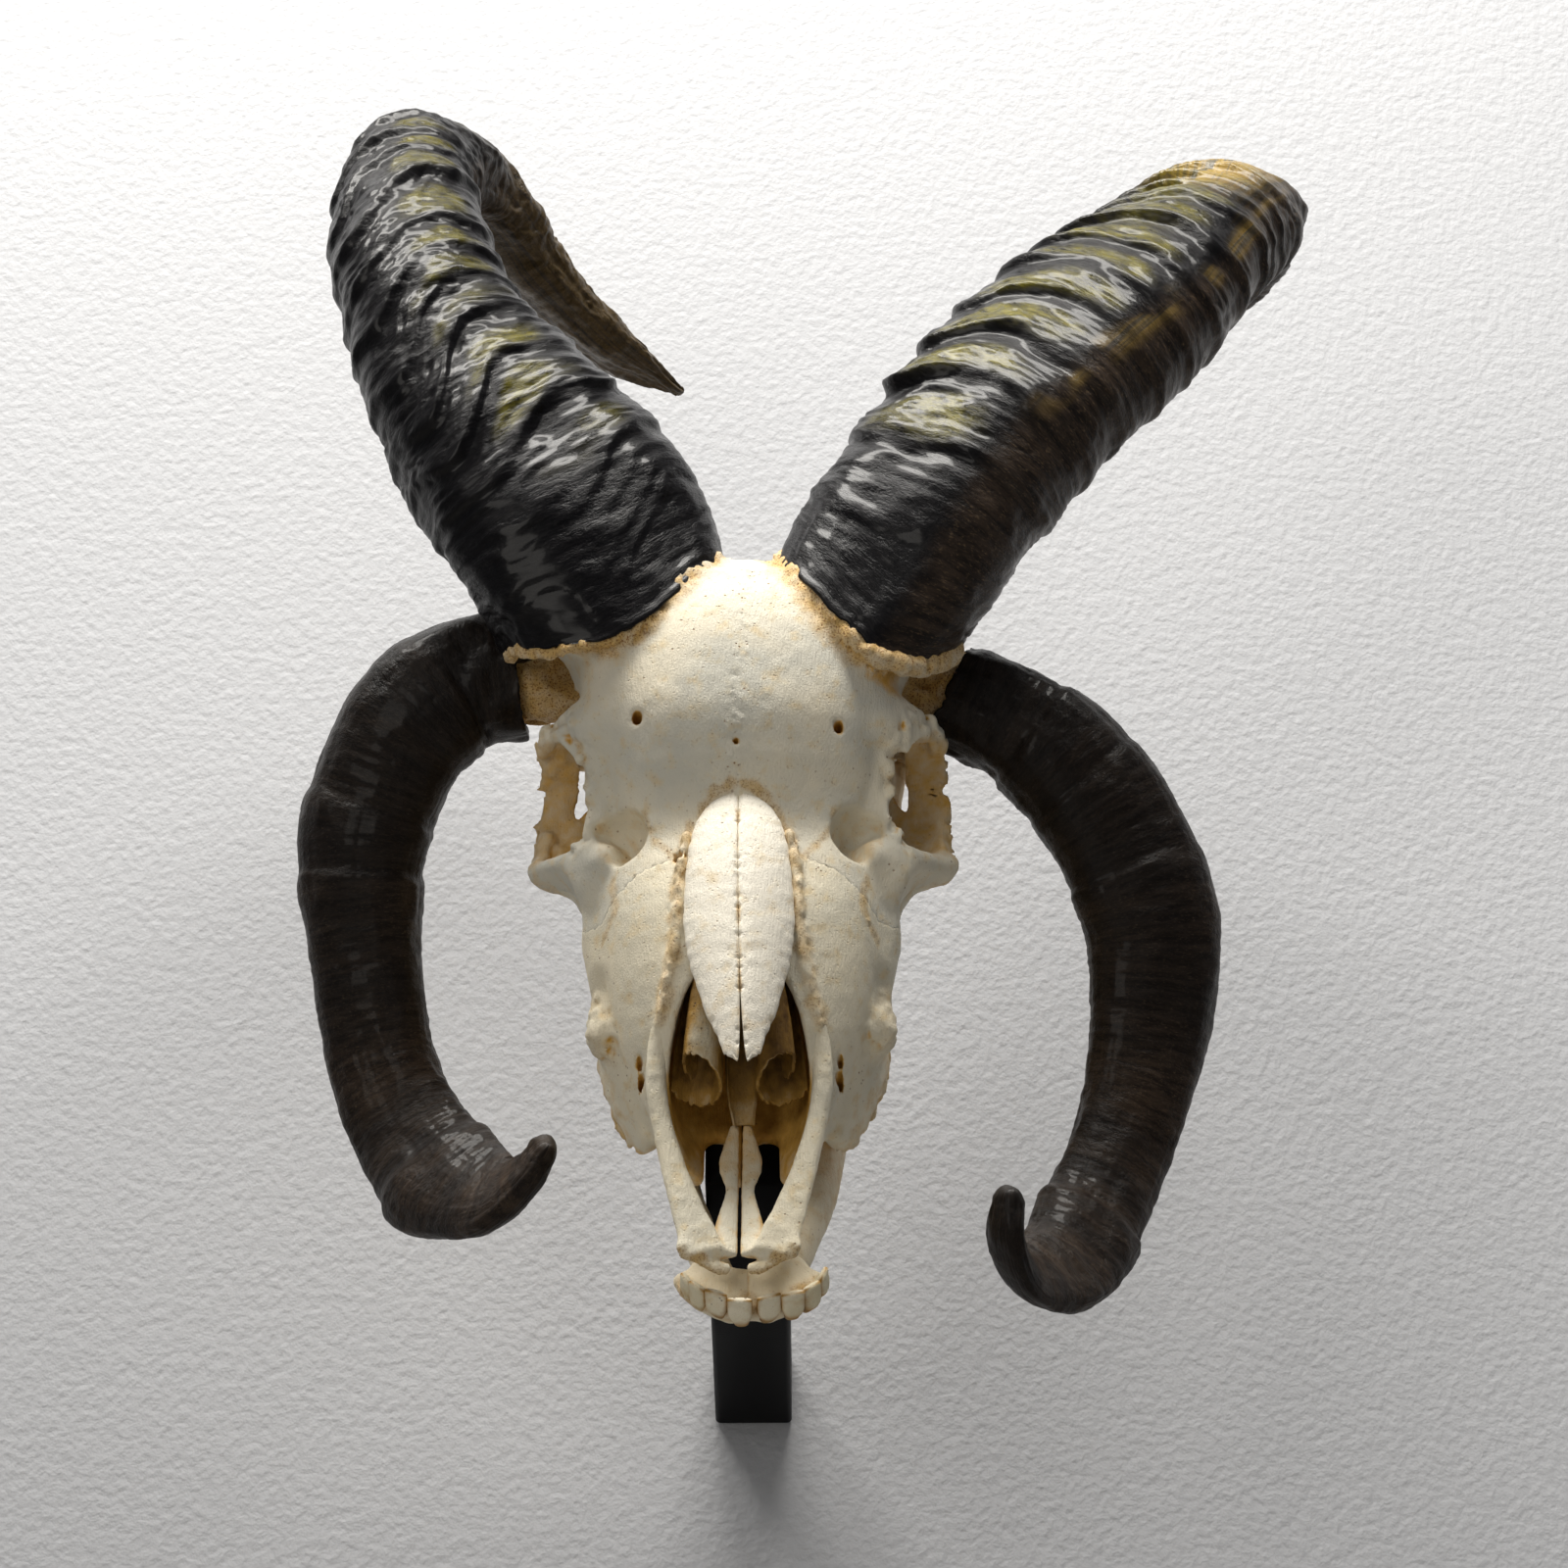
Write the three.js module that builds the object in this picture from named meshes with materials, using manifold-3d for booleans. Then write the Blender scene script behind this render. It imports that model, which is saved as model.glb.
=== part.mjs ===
// Four-horned ram skull on a black wall bracket, life size, in millimetres.
// The wall is the plane Y = 0 and the skull hangs in front of it, face towards -Y, nose down.
// Inside the skull group +Z runs up the face from nose to crown, and +Y runs from the face
// back towards the wall. Left and right are the ram's own, so its left side is at +X.
import * as THREE from "three";
import { mergeVertices } from "three/addons/utils/BufferGeometryUtils.js";
import Module from "manifold-3d";

const wasm = await Module();
wasm.setup();

// ---------------------------------------------------------------- driving dimensions
const GAP = 0.3; // clearance kept between neighbouring pieces
const BAR = 25; // side of the square bracket bar
const BAR_LENGTH = 174; // from the wall to the palate
const NASION = [-2, -222, 95]; // root of the nose, from the centre of the bar's wall face
const FACE_LEAN = 5.5; // degrees that the nose is tucked in towards the wall
const FACE_TURN = -1; // degrees that the face is turned about the vertical

const BONE = "#d9d2c0";
const BONE_DEEP = "#b79a62";
const JAW_BONE = "#d8c79c";
const HORN_DARK = "#2a2624";
const HORN_BROWN = "#3a312b";
const PAINT_BLACK = "#0b0b0c";

const rad = THREE.MathUtils.degToRad;
const bothSides = (build) => [1, -1].map((side) => build(side));

// ---------------------------------------------------------------- solids from surfaces

// A closed three.js geometry as a manifold-3d solid, facing outwards.
function solid(geometry) {
  const bare = new THREE.BufferGeometry();
  bare.setAttribute("position", geometry.getAttribute("position"));
  bare.setIndex(geometry.getIndex());
  const merged = mergeVertices(bare, 1e-4);
  const made = new wasm.Manifold(
    new wasm.Mesh({
      numProp: 3,
      vertProperties: merged.attributes.position.array,
      triVerts: new Uint32Array(merged.index.array),
    }),
  );
  if (made.volume() > 0) return made;
  const turned = merged.index.array.slice().reverse();
  return new wasm.Manifold(
    new wasm.Mesh({
      numProp: 3,
      vertProperties: merged.attributes.position.array,
      triVerts: new Uint32Array(turned),
    }),
  );
}

// A tube through rings of equally many points, closed by a fan at each end.
function skin(rings) {
  const count = rings[0].length;
  const points = rings.flat();
  const index = [];
  for (let i = 0; i + 1 < rings.length; i++) {
    for (let j = 0; j < count; j++) {
      const a = i * count + j;
      const b = i * count + ((j + 1) % count);
      index.push(a, b, a + count, b, b + count, a + count);
    }
  }
  for (const [start, flip] of [[0, true], [(rings.length - 1) * count, false]]) {
    const middle = new THREE.Vector3();
    for (let j = 0; j < count; j++) middle.addScaledVector(points[start + j], 1 / count);
    const centre = points.push(middle) - 1;
    for (let j = 0; j < count; j++) {
      const a = start + j;
      const b = start + ((j + 1) % count);
      index.push(...(flip ? [centre, b, a] : [centre, a, b]));
    }
  }
  const geometry = new THREE.BufferGeometry().setFromPoints(points);
  geometry.setIndex(index);
  return solid(geometry);
}

// One superellipse ring: power 2 is an ellipse, and more is squarer.
function ring(centre, across, through, half, power, sides) {
  return Array.from({ length: sides }, (_, j) => {
    const angle = (2 * Math.PI * (j + 0.5)) / sides;
    const c = Math.cos(angle);
    const s = Math.sin(angle);
    const size = (Math.abs(c) ** power + Math.abs(s) ** power) ** (-1 / power);
    return centre
      .clone()
      .addScaledVector(across, half[0] * c * size)
      .addScaledVector(through, half[1] * s * size);
  });
}

// A limb of bone or horn: rings carried along a smooth spine. Each entry of the spine is
// [x, y, z, half width, half thickness]; front is the side that the thickness starts towards.
// bulge(u) scales the rings, for growth ridges; from and to cut a stretch out of the spine;
// margin makes it larger all round, for cutting room out of a neighbour.
function limb(spine, front, options = {}) {
  const { steps = 10, sides = 10, power = 2.2, bulge = null, from = 0, to = 1, margin = 0 } = options;
  const path = new THREE.CatmullRomCurve3(
    spine.map((p) => new THREE.Vector3(p[0], p[1], p[2])), false, "catmullrom", 0.5);
  const sizes = new THREE.CatmullRomCurve3(
    spine.map((p) => new THREE.Vector3(p[3], p[4], 0)), false, "catmullrom", 0.5);
  const through = new THREE.Vector3(...front);
  const rings = [];
  for (let i = 0; i <= steps; i++) {
    const u = from + ((to - from) * i) / steps;
    const tangent = path.getTangent(u);
    through.addScaledVector(tangent, -through.dot(tangent)).normalize();
    const across = new THREE.Vector3().crossVectors(through, tangent);
    const size = sizes.getPoint(u);
    const scale = bulge ? bulge(u) : 1;
    const half = [size.x * scale + margin, size.y * scale + margin];
    const overhang = i === 0 ? -margin : i === steps ? margin : 0;
    const centre = path.getPoint(u).addScaledVector(tangent, overhang);
    rings.push(ring(centre, across, through, half, power, sides));
  }
  return skin(rings);
}

// A stack of level rings about the mid-plane. Each entry is [z, middle y, half width, half depth].
function stack(levels, { sides = 20, power = 2.4, margin = 0 } = {}) {
  const across = new THREE.Vector3(1, 0, 0);
  const through = new THREE.Vector3(0, 1, 0);
  return skin(
    levels.map(([z, y, hx, hy], i) => {
      const down = levels[0][0] > levels[levels.length - 1][0] ? -1 : 1;
      const overhang = i === 0 ? -down * margin : i === levels.length - 1 ? down * margin : 0;
      const centre = new THREE.Vector3(0, y, z + overhang);
      return ring(centre, across, through, [hx + margin, hy + margin], power, sides);
    }),
  );
}

// An egg: a sphere drawn out to three half sizes.
function egg([x, y, z], [hx, hy, hz], margin = 0, around = 12, down = 8) {
  const ball = new THREE.SphereGeometry(1, around, down);
  return solid(ball.scale(hx + margin, hy + margin, hz + margin).translate(x, y, z));
}

// A block between two corners.
function block(low, high, margin = 0) {
  const size = high.map((value, i) => value - low[i] + 2 * margin);
  const middle = high.map((value, i) => (value + low[i]) / 2);
  return solid(new THREE.BoxGeometry(...size).translate(...middle));
}

const join = (...pieces) => wasm.Manifold.union(pieces.flat());
const mirrored = (spine, side) => spine.map(([x, ...rest]) => [side * x, ...rest]);

// Everything on one side of the mid-plane, short of it by half the clearance.
const halfSpace = (side, margin) =>
  block([side > 0 ? GAP / 2 - margin : -150, -200, -250], [side > 0 ? 150 : margin - GAP / 2, 200, 250]);

// Only the largest body of a solid, without the crumbs that a cut can leave.
function largest(piece) {
  return piece.decompose().reduce((a, b) => (b.volume() > a.volume() ? b : a));
}

function finish(name, colour, roughness, piece) {
  const made = largest(piece).getMesh();
  const geometry = new THREE.BufferGeometry();
  const stride = made.numProp;
  const points = new Float32Array(made.numVert * 3);
  for (let i = 0; i < made.numVert; i++) {
    points.set(made.vertProperties.subarray(i * stride, i * stride + 3), i * 3);
  }
  geometry.setAttribute("position", new THREE.BufferAttribute(points, 3));
  geometry.setIndex(new THREE.BufferAttribute(made.triVerts, 1));
  geometry.computeVertexNormals();
  const material = new THREE.MeshStandardMaterial({ color: colour, roughness, metalness: 0 });
  const mesh = new THREE.Mesh(geometry, material);
  mesh.name = name;
  return mesh;
}

// ---------------------------------------------------------------- horns
// Four horns of a polycerate ram: two tall ones off the crown, and two that hang beside the
// cheeks. Each is a hollow sheath on a bony core. Spines run from the base to the tip.

const HORNS = {
  horn_upper_left: {
    root: [22, 22, 46], front: [-0.35, -1, 0.2], ridge: 0.035, ridges: 14, core: 0.42, coreScale: 0.72,
    spine: [
      [40, 14, 74, 34, 25], [56, 12, 99, 35.5, 25], [75.5, 12, 129, 36.5, 25], [99, 18, 159, 38, 24],
      [123, 28, 186, 35.5, 23], [144, 42, 214, 29.5, 21], [162, 64, 239, 23, 18], [167, 90, 247, 17, 15],
      [155, 112, 240, 13, 10], [133, 130, 232, 5, 4],
    ],
  },
  horn_upper_right: {
    root: [-22, 22, 46], front: [0.2, -1, 0.25], ridge: 0.035, ridges: 16, core: 0.4, coreScale: 0.72,
    spine: [
      [-39, 14, 73, 39, 26], [-53, 10, 102, 41.5, 26], [-72, 10, 130, 39.5, 25], [-91.5, 14, 161, 32, 24],
      [-104, 22, 194, 27, 23], [-110, 36, 227, 23.5, 21], [-108, 58, 259, 20, 18], [-95, 88, 271, 19, 14],
      [-75, 118, 254, 18, 10], [-51, 138, 237, 12, 7], [-26, 152, 226, 2.5, 2],
    ],
  },
  horn_lower_left: {
    root: [34, 38, 54], front: [0, -1, 0], ridge: 0.012, ridges: 13, core: 0.36, coreScale: 0.74,
    spine: [
      [65, 40, 53, 17, 16], [87, 42, 43, 18, 16], [105, 46, 28, 20.5, 16], [119, 52, 7, 21.5, 15],
      [127, 58, -17, 21, 14], [127, 64, -41, 19.5, 13], [123, 68, -66, 17.5, 11], [116, 68, -89, 16, 9],
      [107, 60, -113, 16.5, 7.5], [97, 42, -137, 16, 6], [84, 24, -146, 13.5, 5], [79, 10, -140, 10, 4.5],
      [80, 4, -130, 6, 4],
    ],
  },
  horn_lower_right: {
    root: [-34, 38, 54], front: [0, -1, 0], ridge: 0.012, ridges: 13, core: 0.36, coreScale: 0.74,
    spine: [
      [-71, 40, 62, 20, 17], [-89, 40, 59, 21, 17], [-105, 42, 46, 21.5, 17], [-114, 47, 30, 21, 16],
      [-120, 53, 11, 20, 15], [-120, 60, -13, 17.5, 14], [-117, 66, -37, 17, 12.5], [-113, 70, -59, 17, 11],
      [-104, 68, -81, 18.5, 9], [-91, 54, -103, 19, 7.5], [-76, 36, -115, 15, 6], [-65, 24, -113, 10, 5],
      [-59, 18, -107, 6, 4],
    ],
  },
};

// The sheath's growth ridges swell it in turn along its length and fade towards the tip.
function hornSheath({ spine, front, ridge, ridges }, margin) {
  const bulge = (u) => 1 + ridge * (1 - u) * Math.cos(2 * Math.PI * ridges * u);
  return limb(spine, front, { steps: 2 * ridges, sides: 12, power: 2.3, bulge, margin });
}

// The bony core follows the sheath's spine from its base, and thins to a blunt end.
function hornCore({ spine, front, core, coreScale }, margin) {
  const thin = spine.map(([x, y, z, w, t]) => [x, y, z, w * coreScale, t * coreScale]);
  const bulge = (u) => 1 - 0.45 * (u / core) ** 3;
  return limb(thin, front, { steps: 5, sides: 8, to: core, bulge, margin });
}

// The pedicle is the stump of frontal bone that carries a core, out to the sheath's rim.
function pedicle({ spine, front, root }, margin) {
  const base = new THREE.Vector3(...spine[0]);
  const outward = new THREE.Vector3(...spine[1]).sub(base).normalize();
  const rim = base.clone().addScaledVector(outward, -2 * GAP);
  const [w, t] = spine[0].slice(3);
  const stump = [[...root, w * 0.8, t * 0.8], [...rim.toArray(), w * 0.94, t * 0.94]];
  return limb(stump, front, { steps: 1, sides: 10, margin });
}

// ---------------------------------------------------------------- cranium
// Frontal, parietal, occipital, temporal, lacrimal and malar bones, knit together in an adult.

const frontalLevels = [
  [83, 26, 25, 22], [77, 21, 34, 23], [66, 18, 43, 24], [54, 16, 48, 26], [40, 15, 50, 27],
  [26, 16, 46, 28], [12, 20, 42, 28], [0, 24, 41, 27], [-10, 26, 42, 27],
];
const occiput = [[0, 36, 87, 28, 6], [0, 46, 84, 37, 8], [0, 60, 77, 37, 9], [0, 74, 66, 20, 8]];
const basicranium = [[0, 72, 68, 13, 6], [0, 61, 27, 11, 6], [0, 51, -7, 10, 6]];
const supraorbital = [[43, 6, 30, 7, 6], [52, 12, 35, 6, 4], [59, 24, 36.5, 4, 4]];
const postorbital = [
  [57.5, 20, 37, 5, 3], [58, 34, 31, 6, 2.6], [58.5, 43, 14, 6, 2.6], [59.5, 40, -5, 6, 3.5],
];
const malar = [[61.5, 38, -8, 3.5, 4], [54, 26, -8.5, 5, 6], [44, 16, -6, 6, 8], [36, 16, -4, 6, 8]];
const orbitHole = [[66, 22, 14, 21.5, 19], [44, 28, 15, 18, 16], [27, 36, 16, 8, 9]];
const zygomaticArch = [
  [61, 40, -3, 5, 2.4], [61, 48, 18, 5, 2.4], [54, 50, 37, 5, 3], [38, 48, 47, 7, 5],
];
const glenoid = [[36, 46, 44, 9, 7], [52, 47, 43, 9, 4]];
const paroccipital = [[30, 66, 66, 6, 5], [31, 84, 59, 5, 4], [30, 97, 54, 2.5, 2]];
const CHEEK_SHIFT = -1.5; // the cheek arches lie this far towards the ram's right

function makeCranium(margin) {
  const horns = Object.values(HORNS).flatMap((horn) => [pedicle(horn, margin), hornCore(horn, margin)]);
  const middle = [
    stack(frontalLevels, { sides: 20, power: 2.5, margin }),
    egg([0, 40, 56], [38, 34, 35], margin, 12, 8),
    limb(occiput, [0, 0, 1], { steps: 3, sides: 12, power: 2.6, margin }),
    limb(basicranium, [0, 1, 0], { steps: 2, sides: 8, margin }),
  ];
  const sides = bothSides((side) => [
    limb(mirrored(supraorbital, side), [0, -1, 0], { steps: 3, sides: 8, margin }),
    limb(mirrored(postorbital, side), [0, -0.6, -1], { steps: 5, sides: 6, power: 3, margin }),
    limb(mirrored(malar, side), [0, -1, 0], { steps: 4, sides: 8, margin }),
    limb(mirrored(zygomaticArch, side), [side, 0, 0], { steps: 4, sides: 6, margin }),
    limb(mirrored(paroccipital, side), [0, 0, 1], { steps: 2, sides: 6, margin }),
    limb(mirrored(glenoid, side), [0, 1, 0], { steps: 1, sides: 8, margin }),
    egg([side * 14, 75, 73], [8, 9, 11], margin, 8, 5),
    egg([side * 23, 70, 46], [9, 10, 11], margin, 8, 5),
  ]).flat();
  const orbits = bothSides((side) => [
    limb(mirrored(orbitHole, side), [0, 0, 1], { steps: 3, sides: 12, margin: -margin }),
    egg([side * 53, 40, 34], [13, 12, 13], -margin, 8, 5),
  ]).flat();
  const foramenMagnum = egg([0, 76, 84], [9, 16, 12], -margin, 8, 5);
  const cheeks = join(sides).translate([CHEEK_SHIFT, 0, 0]);
  return join(join(middle, horns).subtract(join(orbits)), cheeks).subtract(foramenMagnum);
}

// ---------------------------------------------------------------- muzzle bones
// The upper jaw is two maxillae with their cheek teeth. The nasal cavity opens between them.

const muzzleLevels = [
  [-6, 26, 42, 27], [-20, 26, 43.5, 29], [-36, 25, 43, 30], [-55, 24, 40.5, 28], [-74, 24, 36, 25],
  [-90, 24, 29.5, 20], [-104, 25, 24, 14], [-114, 25, 20, 9],
];
const cavityLevels = [
  [-44, 14, 8, 12], [-56, 12, 14, 18], [-70, 10, 18.5, 24], [-86, 10, 21, 27], [-100, 8, 20, 27],
  [-112, 6, 17, 24], [-124, 4, 14, 22],
];
const facialCrest = [
  [57, 36, -11, 5, 4], [47, 33, -21, 6, 4], [39.5, 30, -36, 6, 4], [39.5, 27, -52, 6, 4],
  [41, 27, -66, 6, 5],
];
const alveolar = [
  [31.5, 48, -90, 4, 6], [37, 46, -79, 5, 9], [38.5, 48, -66, 6, 12], [36.5, 57, -42, 6, 12],
  [33, 62, -18, 7, 10],
];
const palatineFissure = [[9, 20, -100, 5, 16], [9, 20, -131, 5.5, 16]];
const upperTeeth = [
  [29.5, 48, -90, 5, 8], [31, 58, -62, 6, 9], [32, 66, -38, 6.5, 9], [31, 73, -17, 5.5, 7],
];

function makeMaxilla(side, margin) {
  const bone = join(
    stack(muzzleLevels, { sides: 20, power: 2.5, margin }).intersect(halfSpace(side, margin)),
    limb(mirrored(facialCrest, side), [0, -1, 0], { steps: 4, sides: 6, margin }),
    limb(mirrored(alveolar, side), [0, -1, 0], { steps: 5, sides: 8, margin }),
    egg([side * 42, 27, -66], [4.5, 8, 7], margin, 8, 4),
  );
  const openings = join(
    stack(cavityLevels, { sides: 12, margin: -margin }),
    limb(mirrored(palatineFissure, side), [0, 1, 0], { steps: 2, sides: 8, margin: -margin }),
  );
  const teeth = limb(mirrored(upperTeeth, side), [0, 1, 0], { steps: 3, sides: 4, power: 4, margin });
  return bone.subtract(openings).add(teeth);
}

// Nasal bones: a pair of arched blades, pointed at the tip, that roof the cavity.
const nasalBlade = [
  [6, 0, 0, 7, 3], [7.6, -6, -14, 8.6, 3.2], [8, -10, -32, 9, 3.2], [7.6, -12, -52, 8.8, 3],
  [6.4, -13.5, -70, 7, 2.5], [4, -14.5, -86, 3.6, 1.9], [3.4, -14, -90, 2, 1.2],
];

function makeNasal(side, margin) {
  const shape = { steps: 7, sides: 8, power: 3, margin };
  const blade = limb(mirrored(nasalBlade, side), [side * 0.42, -1, 0], shape);
  return blade.intersect(halfSpace(side, margin));
}

// Premaxillae: a long bar down each side of the nasal opening, a slim one beside the mid-plane,
// and the plate at the tip that joins them.
const premaxillaBar = [
  [20, 1, -62, 3, 2.5], [24, 6, -78, 4, 3.2], [24.5, 9, -92, 4.3, 3.5], [21, 10, -112, 4.8, 3.2],
  [16, 8, -130, 5.5, 2.8], [11, 4, -144, 6, 2.5],
];
const premaxillaSlip = [
  [2.2, 26, -98, 1.4, 1.5], [3.7, 22, -112, 2.8, 1.5], [3, 17, -121, 2, 1.5], [4.2, 12, -132, 3, 2],
  [6, 6, -143, 5, 2.4],
];
const premaxillaTip = [[2.2, 5, -148, 2.2, 2.5], [10, 4, -146, 5, 2.6], [16.5, 5, -141.5, 3, 2.2]];

function makePremaxilla(side, margin) {
  const whole = join(
    limb(mirrored(premaxillaBar, side), [0, -1, 0], { steps: 7, sides: 8, margin }),
    limb(mirrored(premaxillaSlip, side), [0, -1, 0], { steps: 6, sides: 6, margin }),
    limb(mirrored(premaxillaTip, side), [0, -1, 0], { steps: 3, sides: 6, margin }),
  );
  return whole.intersect(halfSpace(side, margin));
}

// Ventral conchae: the two bony scrolls that hang in the cavity, and the vomer between them.
const conchaScroll = [[10, 3, -58, 5, 8], [11.5, 5, -74, 6.5, 9], [11.8, 8, -92, 6, 8]];
const conchaHollow = [[11, 4, -74, 3, 4], [11.8, 8, -84, 4.5, 6.5], [11.8, 9, -96, 5, 7]];
const vomerTrough = [
  [0, 10, -48, 3, 8], [0, 14, -72, 4.4, 4], [0, 19, -88, 4.2, 2], [0, 23, -97, 3, 1.6],
];

function makeConcha(side, margin) {
  const hollowShape = { steps: 2, sides: 8, margin: -margin };
  const outer = limb(mirrored(conchaScroll, side), [0, -1, 0], { steps: 4, sides: 8, margin });
  return outer.subtract(limb(mirrored(conchaHollow, side), [0, -1, 0], hollowShape));
}

function makeVomer(margin) {
  return limb(vomerTrough, [0, -1, 0], { steps: 5, sides: 6, power: 3, margin });
}

// ---------------------------------------------------------------- lower jaw
// Two half jaws that meet at the chin, each with its cheek teeth and four incisors.

const jawBody = [
  [5, 25, -155, 5, 4.5], [9, 30, -147, 6.5, 5.5], [17, 44, -125, 7.5, 5.5], [23, 60, -105, 10, 5.5],
  [27, 77.5, -79, 14, 6.5], [29.5, 92.5, -53, 18, 6.5], [32, 101, -32, 20, 5.5], [34, 106, -20, 15, 4.5],
];
const jawRamus = [
  [34, 124, -21, 10, 3.5], [34.5, 115, -17, 19, 4], [35, 107.5, -14.5, 21, 4.2], [38, 88, -4, 21, 3.6],
  [43, 71, 13.5, 18, 3.2], [46, 60, 27, 12, 3.2], [47.5, 55, 35, 5, 3.5],
];
const coronoid = [[44, 60, 20, 9, 2.4], [46.5, 43, 30, 6.5, 2.2], [45, 29, 42, 3, 1.8]];
const condyle = [[38, 54.5, 39, 3, 3.5], [47, 54.5, 39.5, 4, 4], [55, 55, 39, 3, 3.2]];
const lowerTeeth = [
  [26, 60.5, -91, 4, 7], [28.5, 70, -65, 5, 8], [30.5, 79, -40, 5.5, 8], [32, 87, -18, 5, 8],
];
const chin = [[2.8, 26, -158, 2.6, 5], [11, 25, -154, 7, 5], [17.5, 24, -147, 4, 4.5]];
const INCISORS = [[3.3, 8, -160.5], [9.2, 8, -158.5], [15, 8.5, -154.5], [20, 9.5, -149]];
const JAW_SHIFT = 2.5; // the lower jaw hangs this far towards the ram's left

function makeJaw(side, margin) {
  const outwards = [side, 0, 0];
  const incisors = INCISORS.map(([x, y, z]) => {
    const tooth = [[x * 0.86, 24, z + 1.5, 2.4, 2.2], [x, 15, z - 0.5, 2.9, 2], [x, y, z, 2.9, 0.9]];
    return limb(mirrored(tooth, side), [0, 0, 1], { steps: 2, sides: 6, power: 3, margin });
  });
  const whole = join(
    limb(mirrored(jawBody, side), outwards, { steps: 9, sides: 8, margin }),
    limb(mirrored(jawRamus, side), outwards, { steps: 7, sides: 8, margin }),
    limb(mirrored(coronoid, side), outwards, { steps: 3, sides: 6, margin }),
    limb(mirrored(lowerTeeth, side), [0, -1, 0], { steps: 3, sides: 4, power: 4, margin }),
    limb(mirrored(condyle, side), [0, -1, 0], { steps: 3, sides: 6, margin }),
    limb(mirrored(chin, side), [0, -1, 0], { steps: 3, sides: 8, margin }),
    incisors,
  );
  return whole.intersect(halfSpace(side, margin)).translate([JAW_SHIFT, 0, 0]);
}

// ---------------------------------------------------------------- assembly

const skull = new THREE.Group();
skull.position.set(...NASION);
skull.rotation.order = "ZXY";
skull.rotation.set(rad(FACE_LEAN), 0, rad(FACE_TURN));
skull.updateMatrixWorld(true);

// The bracket is one black bar, square to the wall, that runs in under the palate.
const makeBar = (margin) => block([-BAR / 2, -BAR_LENGTH, -BAR / 2], [BAR / 2, 0, BAR / 2], margin);
const toSkull = Array.from(skull.matrixWorld.clone().invert().elements);

// Each piece gives way to the ones it names, which lie in it or against it.
const PIECES = { cranium: [BONE, makeCranium, ["bracket_bar"]] };
const sheath = (name) => (margin) => hornSheath(HORNS[name], margin);
for (const [side, hand] of [[1, "left"], [-1, "right"]]) {
  const [upper, lower] = ["horn_upper_", "horn_lower_"].map((horn) => horn + hand);
  const [nasal, premaxilla, maxilla] = ["nasal_", "premaxilla_", "maxilla_"].map((bone) => bone + hand);
  PIECES[upper] = [HORN_DARK, sheath(upper), ["cranium"]];
  PIECES[lower] = [HORN_BROWN, sheath(lower), ["cranium", upper]];
  PIECES[nasal] = [BONE, (m) => makeNasal(side, m), ["cranium"]];
  PIECES[premaxilla] = [BONE, (m) => makePremaxilla(side, m), [nasal]];
  PIECES[maxilla] = [BONE, (m) => makeMaxilla(side, m), ["cranium", nasal, premaxilla, "bracket_bar"]];
  PIECES["concha_" + hand] = [
    BONE_DEEP, (m) => makeConcha(side, m), [nasal, premaxilla, maxilla, "vomer"],
  ];
  PIECES["mandible_" + hand] = [
    JAW_BONE, (m) => makeJaw(side, m), ["cranium", premaxilla, maxilla, "bracket_bar"],
  ];
}
PIECES.vomer = [
  BONE_DEEP, makeVomer, ["maxilla_left", "maxilla_right", "premaxilla_left", "premaxilla_right"],
];

const rooms = { bracket_bar: makeBar(GAP).transform(toSkull) };
for (const [name, [, make]] of Object.entries(PIECES)) rooms[name] = make(GAP);
for (const [name, [colour, make, neighbours]] of Object.entries(PIECES)) {
  const kept = neighbours.reduce((left, other) => left.subtract(rooms[other]), make(0));
  skull.add(finish(name, colour, 0.6, kept));
}

const part = new THREE.Group();
part.add(skull, finish("bracket_bar", PAINT_BLACK, 0.5, makeBar(0)));

export default part;
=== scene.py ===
import math

import bpy
import numpy as np
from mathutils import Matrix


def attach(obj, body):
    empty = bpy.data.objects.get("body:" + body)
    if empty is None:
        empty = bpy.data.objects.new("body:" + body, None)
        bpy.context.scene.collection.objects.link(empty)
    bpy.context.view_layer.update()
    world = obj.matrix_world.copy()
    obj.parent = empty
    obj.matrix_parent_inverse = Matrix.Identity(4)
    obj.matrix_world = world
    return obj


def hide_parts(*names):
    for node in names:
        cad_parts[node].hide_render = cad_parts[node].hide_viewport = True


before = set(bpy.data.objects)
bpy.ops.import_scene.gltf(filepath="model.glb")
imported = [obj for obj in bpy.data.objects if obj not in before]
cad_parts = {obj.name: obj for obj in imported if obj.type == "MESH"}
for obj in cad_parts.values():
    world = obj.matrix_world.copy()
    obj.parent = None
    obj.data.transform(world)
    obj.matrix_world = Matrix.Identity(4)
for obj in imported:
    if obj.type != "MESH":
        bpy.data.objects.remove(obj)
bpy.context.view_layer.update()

# ---------------------------------------------------------------- camera
# The skull hangs above eye level, so the camera looks up at it from below, straight on.

camera_data = bpy.data.cameras.new("camera")
camera_data.lens = 135
camera_data.sensor_width = 36
camera = bpy.data.objects.new("camera", camera_data)
camera.location = (0.0251, -1.7697, -0.8116)
camera.rotation_euler = (math.radians(90 + 30.5), 0, math.radians(0.49))
bpy.context.collection.objects.link(camera)
bpy.context.scene.camera = camera
bpy.context.scene.view_settings.view_transform = "Standard"

# ---------------------------------------------------------------- wall, floor and lights
# A pale painted wall that the bracket is fixed to, a plain floor far below, and two soft lamps:
# one high up that washes down the wall, and a weak one in front that opens up the shadows.


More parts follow.
